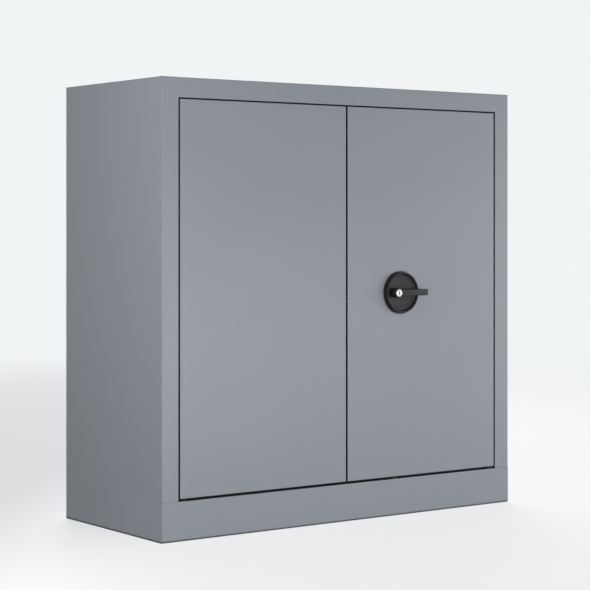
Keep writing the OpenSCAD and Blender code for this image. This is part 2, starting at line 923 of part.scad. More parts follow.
// Square spindle from the lever through the pinion, tapped for its screw
module spindle() {
    front = -cylinder_face + cylinder_len + set_gap;
    color(bare_steel) at_handle() difference() {
        slab(front, cover_back + set_gap) square(spindle_side, center = true);
        shaft(screw_r, cover_back - spindle_bite - 2 * set_gap, cover_back + cut);
    }
}

module spindle_washer() {
    front = cover_back + set_gap;
    color(zinc_grey) at_handle() difference() {
        shaft(spindle_washer_r, front, front + spindle_washer_t);
        shaft(screw_r, front - cut, front + spindle_washer_t + cut);
    }
}

module spindle_screw() {
    head = cover_back + set_gap + spindle_washer_t;
    color(zinc_grey) at_handle() {
        shaft(spindle_head_r, head, head + spindle_head_t);
        shaft(screw_r - run_gap, cover_back - spindle_bite, head);
    }
}

// ---------------------------------------------------------------- lock

// Involute function of an angle, in degrees
function involute(angle) = tan(angle) * 180 / PI - angle;

// Half the angle that a pinion tooth spans at radius r
function flank_angle(r) =
    90 / pinion_teeth - tooth_play / pitch_r * 180 / PI + involute(pressure_angle)
    - involute(acos(base_r / max(r, base_r)));

// Radii of the points along a flank, from root to tip
function flank_r(i) =
    i == 0 ? pinion_root_r : base_r + (pinion_outer_r - base_r) * (i - 1) / (flank_steps - 1);

function polar(r, angle) = [r * cos(angle), r * sin(angle)];

module pinion_outline() {
    polygon([
        for (tooth = [0 : pinion_teeth - 1])
            let (middle = tooth * 360 / pinion_teeth)
            for (i = [0 : 2 * flank_steps + 1])
                i <= flank_steps
                    ? polar(flank_r(i), middle - flank_angle(flank_r(i)))
                    : polar(flank_r(2 * flank_steps + 1 - i),
                        middle + flank_angle(flank_r(2 * flank_steps + 1 - i)))
    ]);
}

// Pinion with a hub at each end that turns in the case and the cover
module pinion() {
    socket = spindle_side / 2 + run_gap;
    color(bare_steel) at_handle() difference() {
        union() {
            slab(pinion_front, pinion_back) pinion_outline();
            shaft(pinion_hub_r, set_gap, cover_back);
        }
        slab(0, cover_back + cut) square(2 * socket, center = true);
    }
}

// Teeth along X that point towards +Y, pitch line on the X axis, bar below it
module rack_outline(bar_front) {
    slope = tan(pressure_angle);
    half = tooth_pitch / 4 - tooth_play;
    foot = half + rack_root * slope;
    tip = half - rack_tip * slope;
    polygon([
        [-rack_back, -rack_root - bar_w], [bar_front, -rack_root - bar_w],
        [bar_front, -rack_root],
        for (i = [spare_teeth - 1 : -1 : -throw_teeth - spare_teeth])
            let (middle = (i + 0.5) * tooth_pitch)
            each [
                [middle + foot, -rack_root], [middle + tip, rack_tip],
                [middle - tip, rack_tip], [middle - foot, -rack_root]
            ],
        [-rack_back, -rack_root]
    ]);
}

// Rack for a rod, drawn for the top rod: it slides up on the left of the pinion
module rod_rack() {
    block = rod_r + socket_wall;
    slab(rack_y, rack_y + bar_t) translate([-pitch_r, 0]) mirror([1, -1])
        rack_outline(socket_start + socket_floor);
    translate([-bar_mid, rod_y, socket_start]) difference() {
        translate([-block, -block, 0]) cube([2 * block, 2 * block, socket_len]);
        translate([0, 0, socket_floor]) cylinder(h = socket_len, r = rod_r + run_gap);
    }
}

// Turns what is drawn for the top rod half a turn, for the bottom rod
module for_bottom_rod() {
    rotate([0, 180, 0]) children();
}

// Round rod from its rack's socket to the door's end
module lock_rod() {
    start = socket_start + socket_floor + set_gap;
    tip = door_h / 2 - rod_tip_in;
    translate([-bar_mid, rod_y, start]) {
        cylinder(h = tip - start - rod_r / 2, r = rod_r);
        translate([0, 0, tip - start - rod_r / 2])
            cylinder(h = rod_r / 2, r1 = rod_r, r2 = rod_r / 2);
    }
}

module top_rack() {
    color(zinc_grey) at_handle() rod_rack();
}

module top_rod() {
    color(zinc_grey) at_handle() lock_rod();
}

module bottom_rack() {
    color(zinc_grey) at_handle() for_bottom_rod() rod_rack();
}

module bottom_rod() {
    color(zinc_grey) at_handle() for_bottom_rod() lock_rod();
}

// Bolt that slides left under the pinion, through the free edge, into the left door
module middle_bolt() {
    length = handle_in - sheet_t - rod_tip_in;
    color(zinc_grey) at_handle() slab(bolt_y, bolt_y + bar_t) translate([0, -pitch_r])
        mirror([1, 0]) rack_outline(length);
}

// Open box behind the door's sheet, with ears under the escutcheon's screws and slots for the
// two racks and the bolt
module lock_case() {
    bar_room_w = bar_w + 2 * set_gap;
    bar_room_t = bar_t + 2 * set_gap;
    color(zinc_grey) at_handle() difference() {
        union() {
            slab(case_front, case_floor) {
                square([2 * case_half_w, 2 * case_half_h], center = true);
                ears();
            }
            slab(case_floor, case_back) difference() {
                square([2 * case_half_w, 2 * case_half_h], center = true);
                square(2 * [case_half_w - case_t, case_half_h - case_t], center = true);
            }
            at_posts() shaft(post_r, case_floor, case_back);
        }
        shaft(pinion_hub_r + run_gap, case_front - cut, case_floor + cut);
        at_screws() shaft(screw_r + set_gap, case_front - cut, case_floor + cut);
        at_posts() shaft(cover_screw_r, case_floor, case_back + cut);
        for (side = [-1, 1])
            translate([
                side * bar_mid - bar_room_w / 2, rack_y - set_gap,
                -side * (case_half_h - case_t / 2) - case_t
            ]) cube([bar_room_w, bar_room_t, 2 * case_t]);
        translate([-case_half_w - cut, bolt_y - set_gap, bolt_z - bar_room_w / 2])
            cube([case_t + 2 * cut, bar_room_t, bar_room_w]);
    }
}

// Strips that join each screw's ear to the case
module ears() {
    for (place = screw_places) {
        x = disc_offset + place[0] * cos(place[1]);
        z = place[0] * sin(place[1]);
        translate([x, z]) circle(ear_r);
        if (place[1] == 0) translate([0, -ear_r]) square([x, 2 * ear_r]);
        else translate([x - ear_r, min(z, 0)]) square([2 * ear_r, abs(z)]);
    }
}

module at_posts() {
    for (x = [-1, 1]) for (z = [-1, 1])
        translate([x * (case_half_w - post_in), 0, z * (case_half_h - post_in)]) children();
}

module lock_cover() {
    color(zinc_grey) at_handle() difference() {
        slab(case_back, cover_back)
            square([2 * case_half_w, 2 * case_half_h], center = true);
        shaft(pinion_hub_r + run_gap, case_back - cut, cover_back + cut);
        at_posts() shaft(cover_screw_r + run_gap, case_back - cut, cover_back + cut);
    }
}

module cover_screws() {
    color(zinc_grey) at_handle() at_posts() {
        shaft(cover_head_r, cover_back, cover_back + cover_head_t);
        shaft(cover_screw_r - run_gap, case_back - cover_bite, cover_back);
    }
}

// Block on the door's sheet that guides a rod near its end, drawn for the top rod
module rod_guide() {
    translate([-bar_mid, 0, door_h / 2 - guide_from_end]) difference() {
        translate([-guide_w / 2, sheet_t, 0])
            cube([guide_w, rod_y + rod_r + socket_wall - sheet_t, guide_h]);
        translate([0, rod_y, -cut]) cylinder(h = guide_h + 2 * cut, r = rod_r + run_gap);
    }
}

module rod_guide_upper() {
    color(nylon_black) at_handle() rod_guide();
}

module rod_guide_lower() {
    color(nylon_black) at_handle() for_bottom_rod() rod_guide();
}

// ---------------------------------------------------------------- nodes

side_left();
side_right();
top_panel();
back_panel();
floor_panel();
plinth_front();
plinth_rear();
base_gussets();
top_stiffener();
floor_stiffener();
upright_front_left();
upright_front_right();
upright_rear_left();
upright_rear_right();
shelf_lower();
shelf_upper();
shelf_clips();
pivot_pins();
pivot_nuts();
pivot_washers();
door_stop_top();
door_stop_bottom();
door_buffers();
left_door_skin();
left_door_stiffener();
left_door_brackets();
left_door_bushes();
bolt_keeper();
right_door_skin();
right_door_stiffener();
right_door_brackets();
right_door_bushes();
escutcheon();
escutcheon_screws();
lock_case();
lock_cover();
cover_screws();
rod_guide_upper();
rod_guide_lower();
lever_handle();
lock_cylinder();
spindle();
pinion();
spindle_washer();
spindle_screw();
lock_plug();
lock_cam();
top_rack();
top_rod();
bottom_rack();
bottom_rod();
middle_bolt();
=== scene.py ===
import math

import bmesh
import bpy
from mathutils import Matrix, Vector


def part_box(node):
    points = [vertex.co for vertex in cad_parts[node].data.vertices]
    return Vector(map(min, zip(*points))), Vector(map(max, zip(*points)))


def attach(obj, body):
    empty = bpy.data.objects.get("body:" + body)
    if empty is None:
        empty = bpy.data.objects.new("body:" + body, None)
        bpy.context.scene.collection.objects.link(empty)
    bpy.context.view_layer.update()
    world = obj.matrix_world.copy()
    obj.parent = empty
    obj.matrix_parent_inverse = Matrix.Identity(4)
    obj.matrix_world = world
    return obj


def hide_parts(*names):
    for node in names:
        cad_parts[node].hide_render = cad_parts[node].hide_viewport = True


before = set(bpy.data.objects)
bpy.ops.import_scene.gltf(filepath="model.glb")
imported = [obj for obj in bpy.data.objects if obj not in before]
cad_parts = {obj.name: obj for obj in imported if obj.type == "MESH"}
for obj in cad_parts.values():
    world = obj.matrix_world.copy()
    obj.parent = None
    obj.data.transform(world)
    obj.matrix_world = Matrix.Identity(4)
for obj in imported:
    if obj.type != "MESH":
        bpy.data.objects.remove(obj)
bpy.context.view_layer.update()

bl_info = {
    "name": "Tool Cabinet with Doors",
    "version": (1, 0, 0),
    "blender": (4, 5, 0),
    "location": "3D View > Sidebar > Tool Cabinet",
    "description": "Paints, plates and lights a sheet steel tool cabinet with a lever lock",
    "category": "Object",
}

MM = 0.001
# Corners of a CAD mesh closer than this are one corner
SAME_POINT = 0.001 * MM
# Faces that meet at more than this have an edge between them, and at less a rounding
EDGE_ANGLE = math.radians(30)
# Outlines that meet at less than this end in a tip too thin to round
TIP_ANGLE = math.radians(50)
EDGE_MARKER = "Mark Sheet Edges"
# Coplanar triangles of the CAD are taken together up to this angle
FLAT_ANGLE = math.radians(0.2)
# Room between two surfaces that lie on each other
SKIN_GAP = 0.02 * MM
# How far a cutting shape passes the surface that it cuts
CUT = 0.5 * MM


# ---------------------------------------------------------------- sizes from the packed model

def box_middle(low, high):
    return (low + high) / 2


def solids_of(node):
    """Lowest and highest corners of each separate solid of a CAD node, from the left and low."""
    shape = bmesh.new()
    shape.from_mesh(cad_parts[node].data)
    bmesh.ops.remove_doubles(shape, verts=shape.verts, dist=SAME_POINT)
    waiting = set(shape.verts)
    boxes = []
    while waiting:
        front = [waiting.pop()]
        members = []
        while front:
            vert = front.pop()
            members.append(vert.co.copy())
            for edge in vert.link_edges:
                other = edge.other_vert(vert)
                if other in waiting:
                    waiting.discard(other)
                    front.append(other)
        low = Vector(min(co[axis] for co in members) for axis in range(3))
        high = Vector(max(co[axis] for co in members) for axis in range(3))
        boxes.append((low, high))
    shape.free()
    return sorted(boxes, key=lambda pair: tuple(round(c, 4) for c in pair[0]))


def nodes_in(*slots):
    """CAD nodes whose finish is one of the record's slots."""
    return [
        name
        for name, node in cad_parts.items()
        if node.data.materials[0].name.split(".")[0] in slots
    ]


DISH_LOW, DISH_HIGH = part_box("escutcheon")
KEY_LOW, KEY_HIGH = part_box("lock_cylinder")
LEVER_LOW, LEVER_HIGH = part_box("lever_handle")
DOOR_FACE = DISH_HIGH.y
PIVOT = box_middle(KEY_LOW, KEY_HIGH)
# Where the lever's axis meets the door
AXIS_PLACE = (PIVOT.x, DOOR_FACE, PIVOT.z)


# ---------------------------------------------------------------- what a user would change

def length_setting(name, description, value):
    return bpy.props.FloatProperty(
        name=name, description=description, default=value,
        unit="LENGTH", subtype="DISTANCE", precision=5,
    )


def colour_setting(name, description, value):
    return bpy.props.FloatVectorProperty(
        name=name, description=description, default=value, min=0, max=1, subtype="COLOR"
    )


class PaintSizes(bpy.types.PropertyGroup):
    """Powder paint on the sheet steel."""

    colour: colour_setting(
        "Paint Colour", "Colour of the satin powder paint", (0.286, 0.311, 0.348)
    )
    roughness: bpy.props.FloatProperty(
        name="Roughness",
        description="How matt the paint is",
        default=0.38,
        min=0,
        max=1,
        subtype="FACTOR",
    )
    peel_size: length_setting(
        "Peel Size", "Width of one dimple of the paint's orange peel", 2.2 * MM
    )
    peel_depth: length_setting("Peel Depth", "Height of the paint's orange peel", 0.012 * MM)
    sheet_edge: length_setting(
        "Sheet Edge Rounding",
        "Radius that the paint gives to the cut edges of the sheets",
        0.3 * MM,
    )


class LockSizes(bpy.types.PropertyGroup):
    """Dished plate, lever and key cylinder."""

    black: colour_setting(
        "Plate Colour", "Colour of the moulded dished plate", (0.014, 0.0145, 0.016)
    )
    lever_black: colour_setting(
        "Lever Colour", "Colour of the lever's coating", (0.013, 0.014, 0.016)
    )
    rim_width: length_setting("Rim Width", "Width of the rounded rim round the dish", 4.5 * MM)
    dish_floor: length_setting("Dish Floor", "Height of the dish's floor above the door", 6 * MM)
    arm_height: length_setting(
        "Arm Height", "Height of the lever's arm as seen from the front", 14.5 * MM
    )
    arm_thickness: length_setting("Arm Thickness", "Thickness of the lever's arm", 7 * MM)
    arm_face: length_setting("Arm Face", "Height of the arm's face above the door", 22 * MM)
    edge: length_setting("Lever Edge", "Radius of the lever's edges", 1.1 * MM)
    keyway: bpy.props.FloatVectorProperty(
        name="Keyway",
        description="Width, depth and height of the key's slot",
        default=(2.2 * MM, 8 * MM, 7.6 * MM),
        unit="LENGTH",
        subtype="XYZ",
        precision=4,
    )


class StudioSizes(bpy.types.PropertyGroup):
    """Camera, floor and light."""

    camera_place: bpy.props.FloatVectorProperty(
        name="Camera Place",
        description="Where the camera stands",
        default=(-2.565, -3.514, 0.690),
        unit="LENGTH",
        subtype="TRANSLATION",
    )
    camera_turn: bpy.props.FloatProperty(
        name="Camera Turn",
        description="Turn of the camera about the upright axis",
        default=math.radians(-36.08),
        unit="ROTATION",
        subtype="ANGLE",
    )
    lens: bpy.props.FloatProperty(
        name="Lens",
        description="Focal length in millimetres",
        default=111.3,
        min=1,
    )
    shift: bpy.props.FloatProperty(
        name="Shift",
        description="Upward shift of the lens, in picture widths",
        default=-0.1254,
    )
    floor_colour: colour_setting(
        "Floor Colour", "Colour of the studio's floor", (0.27, 0.273, 0.276)
    )
    background: colour_setting(
        "Background",
        "Colour that the camera and the gloss see round the cabinet",
        (0.88, 0.90, 0.905),
    )
    room_light: bpy.props.FloatProperty(
        name="Room Light",
        description="Brightness of the light that comes from all round",
        default=0.15,
        min=0,
    )


# ---------------------------------------------------------------- node wiring

def add(tree, kind, feeds=None, **settings):
    """Adds a node; feeds gives each input a value, or the output that it takes one from."""
    node = tree.nodes.new(kind)
    for name, value in settings.items():
        setattr(node, name, value)
    for key, value in (feeds or {}).items():
        if isinstance(value, bpy.types.NodeSocket):
            tree.links.new(value, node.inputs[key])
        else:
            node.inputs[key].default_value = value
    return node


def new_group(name, inputs, outputs):
    """A node group with inputs, as (name, kind, value), and outputs, as (name, kind)."""
    tree = bpy.data.node_groups.new(name, "ShaderNodeTree")
    for label, kind, value in inputs:
        socket = tree.interface.new_socket(
            name=label, in_out="INPUT", socket_type="NodeSocket" + kind
        )
        if value is not None:
            socket.default_value = value
    for label, kind in outputs:
        tree.interface.new_socket(name=label, in_out="OUTPUT", socket_type="NodeSocket" + kind)
    taken = add(tree, "NodeGroupInput").outputs
    given = add(tree, "NodeGroupOutput").inputs
    return tree, taken, given


def use_group(tree, name, **feeds):
    """Places a node group in a material; feeds' names have _ where the inputs have spaces."""
    node = add(tree, "ShaderNodeGroup", node_tree=bpy.data.node_groups[name])
    for key, value in feeds.items():
        socket = node.inputs[key.replace("_", " ")]
        if isinstance(value, bpy.types.NodeSocket):
            tree.links.new(value, socket)
        else:
            socket.default_value = value
    return node


def reckon(tree, kind, *values, clamp=False):
    """The result of a Math node."""
    return add(
        tree, "ShaderNodeMath", dict(enumerate(values)), operation=kind, use_clamp=clamp
    ).outputs[0]


def reckon_vector(tree, kind, *values, result="Vector"):
    """The result of a Vector Math node; a number is its result named Value."""
    return add(
        tree, "ShaderNodeVectorMath", dict(enumerate(values)), operation=kind
    ).outputs[result]


def remap(tree, value, start, end, low=0.0, high=1.0, shape="LINEAR"):
    """A value from start to end, stretched to go from low to high."""
    return add(
        tree,
        "ShaderNodeMapRange",
        {"Value": value, "From Min": start, "From Max": end, "To Min": low, "To Max": high},
        interpolation_type=shape,
    ).outputs[0]


def mix_colours(tree, share, first, second):
    return add(
        tree, "ShaderNodeMix", {"Factor": share, 6: first, 7: second}, data_type="RGBA"
    ).outputs[2]


def drift_noise(tree, place, size, detail):
    """Noise of one feature size, as a value about 0.5."""
    scale = reckon(tree, "DIVIDE", 1.0, size)
    return add(
        tree, "ShaderNodeTexNoise", {"Vector": place, "Scale": scale, "Detail": detail}
    ).outputs["Fac"]


def swing_about(tree, taken, reach, centre, detail, clamp=False):
    """A value that drifts in patches, by up to reach on both sides of centre."""
    noise = drift_noise(tree, taken["Place"], taken["Patch Size"], detail)
    swing = reckon(tree, "SUBTRACT", noise, 0.5)
    doubled = reckon(tree, "MULTIPLY", reach, 2.0)
    return reckon(tree, "MULTIPLY_ADD", swing, doubled, centre, clamp=clamp)


def make_relief_group():
    """Fine unevenness of a surface as a height in metres."""
    tree, taken, given = new_group(
        "Surface Relief",
        [
            ("Place", "Vector", None),
            ("Stretch", "Vector", (1, 1, 1)),
            ("Feature Size", "Float", 2 * MM),
            ("Depth", "Float", 0.01 * MM),
        ],
        [("Height", "Float")],
    )
    stretched = reckon_vector(tree, "MULTIPLY", taken["Place"], taken["Stretch"])
    noise = drift_noise(tree, stretched, taken["Feature Size"], 2.0)
    tree.links.new(reckon(tree, "MULTIPLY", noise, taken["Depth"]), given["Height"])


def make_tone_group():
    """Slow drift of a colour's tone across a surface."""
    tree, taken, given = new_group(
        "Tone Drift",
        [
            ("Place", "Vector", None),
            ("Colour", "Color", (0.5, 0.5, 0.5, 1)),
            ("Amount", "Float", 0.03),
            ("Patch Size", "Float", 0.2),
        ],
        [("Colour", "Color")],
    )
    gain = swing_about(tree, taken, taken["Amount"], 1.0, 3.0)
    toned = add(
        tree, "ShaderNodeVectorMath", {0: taken["Colour"], "Scale": gain}, operation="SCALE"
    ).outputs[0]
    tree.links.new(toned, given["Colour"])


def make_gloss_group():
    """Patches that are a little more or less rough, as handling and cleaning leave them."""
    tree, taken, given = new_group(
        "Gloss Drift",
        [
            ("Place", "Vector", None),
            ("Roughness", "Float", 0.4),
            ("Spread", "Float", 0.05),
            ("Patch Size", "Float", 0.05),
        ],
        [("Roughness", "Float")],
    )
    rough = swing_about(tree, taken, taken["Spread"], taken["Roughness"], 4.0, clamp=True)
    tree.links.new(rough, given["Roughness"])


def make_dust_group():
    """Thin dust that settles on faces that look up."""
    tree, taken, given = new_group(
        "Settled Dust",
        [
            ("Place", "Vector", None),
            ("Colour", "Color", (0.5, 0.5, 0.5, 1)),
            ("Dust", "Color", (0.42, 0.41, 0.39, 1)),
            ("Amount", "Float", 0.12),
        ],
        [("Colour", "Color"), ("Mask", "Float")],
    )
    facing = add(tree, "ShaderNodeNewGeometry").outputs["Normal"]
    upward = add(tree, "ShaderNodeSeparateXYZ", {0: facing}).outputs["Z"]
    level = remap(tree, upward, 0.75, 0.98)
    patches = remap(tree, drift_noise(tree, taken["Place"], 0.06, 5.0), 0.3, 0.75, low=0.25)
    lying = reckon(tree, "MULTIPLY", level, patches)
    mask = reckon(tree, "MULTIPLY", lying, taken["Amount"])
    tree.links.new(mix_colours(tree, mask, taken["Colour"], taken["Dust"]), given["Colour"])
    tree.links.new(mask, given["Mask"])


def make_scuff_group():
    """Hairline scuffs that run in many directions, as a mask."""
    tree, taken, given = new_group(
        "Hairline Scuffs",
        [
            ("Place", "Vector", None),
            ("Cell Size", "Float", 10 * MM),
            ("Share", "Float", 0.3),
        ],
        [("Mask", "Float")],
    )
    total = 0.0
    for turn, stretch in ((0.4, (9, 1, 1)), (1.7, (1, 1, 9)), (2.6, (7, 1, 2))):
        turned = add(
            tree,
            "ShaderNodeMapping",
            {
                "Vector": taken["Place"],
                "Rotation": (0.0, turn, 0.3 * turn),
                "Scale": stretch,
            },
        ).outputs[0]
        noise = drift_noise(tree, turned, taken["Cell Size"], 1.0)
        off = reckon(tree, "ABSOLUTE", reckon(tree, "SUBTRACT", noise, 0.5))
        line = remap(tree, off, 0.0, 0.012, low=1.0, high=0.0)
        total = reckon(tree, "MAXIMUM", total, line)
    tree.links.new(reckon(tree, "MULTIPLY", total, taken["Share"]), given["Mask"])


def make_gap_shade_group():
    """Painted shade in narrow gaps between sheets: the colour goes dark where ambient occlusion
    finds the gap closed.
    """
    tree, taken, given = new_group(
        "Gap Grime",
        [
            ("Colour", "Color", (0.5, 0.5, 0.5, 1)),
            ("Grime", "Color", (0.006, 0.006, 0.007, 1)),
            ("Reach", "Float", 8 * MM),
        ],
        [("Colour", "Color"), ("Closed", "Float")],
    )
    # Painted shade: ambient occlusion pulls the colour towards a near-black shade colour in closed
    # gaps
    openness = add(
        tree, "ShaderNodeAmbientOcclusion", {"Distance": taken["Reach"]}, samples=8
    ).outputs["AO"]
    closed = remap(tree, openness, 0.6, 0.9, low=1.0, high=0.0, shape="SMOOTHSTEP")
    tree.links.new(mix_colours(tree, closed, taken["Colour"], taken["Grime"]), given["Colour"])
    tree.links.new(closed, given["Closed"])


def make_edge_marker():
    """Marks the sheet edges to be rounded, and leaves out crossings and sharp tips of outlines."""
    tree = bpy.data.node_groups.new(EDGE_MARKER, "GeometryNodeTree")
    for way in ("INPUT", "OUTPUT"):
        tree.interface.new_socket(name="Sheet", in_out=way, socket_type="NodeSocketGeometry")

    def store(sheet, name, domain, value):
        return add(
            tree,
            "GeometryNodeStoreNamedAttribute",
            {"Geometry": sheet, "Name": name, "Value": value},
            data_type="FLOAT",
            domain=domain,
        ).outputs[0]

    def read(name):
        return add(
            tree, "GeometryNodeInputNamedAttribute", {"Name": name}, data_type="FLOAT"
        ).outputs[0]

    def at(domain, kind, value, index):
        return add(
            tree,
            "GeometryNodeFieldAtIndex",
            {"Value": value, "Index": index},
            domain=domain,
            data_type=kind,
        ).outputs[0]

    bend = add(tree, "GeometryNodeInputMeshEdgeAngle").outputs["Unsigned Angle"]
    sharp = reckon(tree, "GREATER_THAN", bend, EDGE_ANGLE)
    sheet = store(add(tree, "NodeGroupInput").outputs[0], "sharp", "EDGE", sharp)

    # A tip is a face's corner between two sharp edges that run nearly the same way
    corner = add(tree, "GeometryNodeInputIndex").outputs[0]
    sides = add(tree, "GeometryNodeEdgesOfCorner", {0: corner}).outputs
    both = reckon(
        tree,
        "MULTIPLY",
        at("EDGE", "FLOAT", read("sharp"), sides[0]),
        at("EDGE", "FLOAT", read("sharp"), sides[1]),
    )
    spots = []
    for step in (0, 1, -1):
        beside = add(tree, "GeometryNodeOffsetCornerInFace", {0: corner, 1: step}).outputs[0]
        vertex = add(tree, "GeometryNodeVertexOfCorner", {0: beside}).outputs[0]
        position = add(tree, "GeometryNodeInputPosition").outputs[0]
        spots.append(at("POINT", "FLOAT_VECTOR", position, vertex))
    ways = []
    for spot in spots[1:]:
        way = reckon_vector(tree, "SUBTRACT", spot, spots[0])
        ways.append(reckon_vector(tree, "NORMALIZE", way))
    closeness = reckon_vector(tree, "DOT_PRODUCT", *ways, result="Value")
    narrow = reckon(tree, "GREATER_THAN", closeness, math.cos(TIP_ANGLE))
    sheet = store(sheet, "tip", "CORNER", reckon(tree, "MULTIPLY", narrow, both))

    # A plain corner has three sharp edges, and a crossing has four
    edges_here = add(tree, "GeometryNodeEdgesOfVertex").outputs["Total"]
    many = reckon(tree, "GREATER_THAN", reckon(tree, "MULTIPLY", read("sharp"), edges_here), 3.5)
    left_out = reckon(tree, "MAXIMUM", many, reckon(tree, "GREATER_THAN", read("tip"), 0.0))
    sheet = store(sheet, "left_out", "POINT", left_out)
    clear = reckon(tree, "LESS_THAN", read("left_out"), 0.25)
    weight = reckon(tree, "MULTIPLY", read("sharp"), clear)
    sheet = store(sheet, "bevel_weight_edge", "EDGE", weight)
    add(tree, "NodeGroupOutput", {0: sheet})


def make_effects():
    make_edge_marker()
    make_gap_shade_group()
    make_relief_group()
    make_tone_group()
    make_gloss_group()
    make_dust_group()
    make_scuff_group()


# ---------------------------------------------------------------- finishes

def opaque(colour):
    return (*colour, 1.0)


def start_material(name):
    """An empty node material: its tree, Principled shader, place on the piece, and itself."""
    material = bpy.data.materials.new(name)
    material.use_nodes = True
    tree = material.node_tree
    tree.nodes.clear()
    shader = add(tree, "ShaderNodeBsdfPrincipled")
    add(tree, "ShaderNodeOutputMaterial", {"Surface": shader.outputs[0]})
    place = add(tree, "ShaderNodeTexCoord").outputs["Object"]
    return tree, shader, place, material


def feed(tree, shader, **sources):
    for key, value in sources.items():
        socket = shader.inputs[key.replace("_", " ")]
        if isinstance(value, bpy.types.NodeSocket):
            tree.links.new(value, socket)
        else:
            socket.default_value = value


def bump_from(tree, *heights):
    """Normal from heights in metres that add up."""
    total = heights[0]
    for height in heights[1:]:
        total = reckon(tree, "ADD", total, height)
    return add(
        tree, "ShaderNodeBump", {"Height": total, "Distance": 1.0, "Strength": 1.0}
    ).outputs[0]


def tone_of(tree, place, colour, amount, patch):
    return use_group(
        tree, "Tone Drift", Place=place, Colour=colour, Amount=amount, Patch_Size=patch
    ).outputs["Colour"]


def gloss_of(tree, place, roughness, spread, patch):
    return use_group(
        tree, "Gloss Drift", Place=place, Roughness=roughness, Spread=spread, Patch_Size=patch
    ).outputs["Roughness"]


def relief_of(tree, place, size, depth, stretch=(1.0, 1.0, 1.0)):
    return use_group(
        tree, "Surface Relief", Place=place, Stretch=stretch, Feature_Size=size, Depth=depth
    ).outputs["Height"]


def scuffs_of(tree, place, cell, share):
    return use_group(
        tree, "Hairline Scuffs", Place=place, Cell_Size=cell, Share=share
    ).outputs["Mask"]


def satin_paint(name, sizes):
    """Satin powder paint: orange peel, faint waviness of the sheet, tone drift, settled dust and
    painted shade in the gaps.
    """
    tree, shader, place, _ = start_material(name)
    toned = tone_of(tree, place, opaque(sizes.colour), 0.03, 0.3)
    fine = tone_of(tree, place, toned, 0.02, 3 * MM)
    dusty = use_group(tree, "Settled Dust", Place=place, Colour=fine).outputs
    # Painted shade: the colour goes dark in narrow gaps between sheets
    gap_shaded = use_group(tree, "Gap Grime", Colour=dusty["Colour"]).outputs
    rough = gloss_of(tree, place, sizes.roughness, 0.05, 0.07)
    # Dust, and the painted shade in the gaps, take the gloss away
    dulled = reckon(tree, "MULTIPLY_ADD", dusty["Mask"], 0.8, rough)
    rougher = reckon(tree, "MULTIPLY_ADD", gap_shaded["Closed"], 0.55, dulled, clamp=True)
    peel = relief_of(tree, place, sizes.peel_size, sizes.peel_depth)
    waves = relief_of(tree, place, 0.22, 0.5 * MM)
    feed(
        tree,
        shader,
        Base_Color=gap_shaded["Colour"],
        Roughness=rougher,
        Normal=bump_from(tree, peel, waves),
    )


def moulded_black(name, colour, roughness, grain_size, grain_depth, specular):
    """Matt black moulding or coating: fine grain, worn gloss and hairline scuffs."""
    tree, shader, place, _ = start_material(name)
    toned = tone_of(tree, place, opaque(colour), 0.08, 14 * MM)
    scuffs = scuffs_of(tree, place, 26 * MM, 0.08)
    rubbed = mix_colours(tree, scuffs, toned, (0.14, 0.14, 0.145, 1))
    rough = gloss_of(tree, place, roughness, 0.08, 9 * MM)
    grain = relief_of(tree, place, grain_size, grain_depth)
    feed(tree, shader, Base_Color=rubbed, Roughness=rough, Normal=bump_from(tree, grain))
    shader.inputs["Specular IOR Level"].default_value = specular


def plated(name, grey, roughness, streak, streak_depth, bloom):
    """Plated or machined metal: streaks of the tool along one way, and cloudy gloss."""
    tree, shader, place, _ = start_material(name)
    toned = tone_of(tree, place, opaque(grey), bloom, 8 * MM)
    clouded = tone_of(tree, place, toned, bloom, 1.2 * MM)
    rough = gloss_of(tree, place, roughness, 0.09, 5 * MM)
    scuffs = scuffs_of(tree, place, 18 * MM, 0.18)
    rougher = reckon(tree, "ADD", rough, scuffs, clamp=True)
    lines = relief_of(tree, place, 0.6 * MM, streak_depth, streak)
    feed(
        tree,
        shader,
        Base_Color=clouded,
        Metallic=1.0,
        Roughness=rougher,
        Normal=bump_from(tree, lines),
    )


def soft_moulding(name, colour, roughness, grain_size, grain_depth, drift):
    """Nylon or rubber: moulded grain and a slow drift of tone."""
    tree, shader, place, _ = start_material(name)
    toned = tone_of(tree, place, opaque(colour), drift, 6 * MM)
    dusty = use_group(
        tree, "Settled Dust", Place=place, Colour=toned, Amount=0.06
    ).outputs["Colour"]
    rough = gloss_of(tree, place, roughness, 0.06, 4 * MM)
    grain = relief_of(tree, place, grain_size, grain_depth)
    feed(tree, shader, Base_Color=dusty, Roughness=rough, Normal=bump_from(tree, grain))
    shader.inputs["Specular IOR Level"].default_value = 0.2


# The finish for each of the record's slots
FINISH_NAMES = {
    "paint": "Satin Powder Paint",
    "handle": "Moulded Black Plate",
    "lever": "Black Coated Casting",
    "chrome": "Polished Nickel",
    "zinc": "Bright Zinc Plate",
    "bare_steel": "Machined Steel",
    "nylon": "Black Nylon",
    "black_pin": "Black Zinc Pin",
    "rubber": "Black Rubber",
}


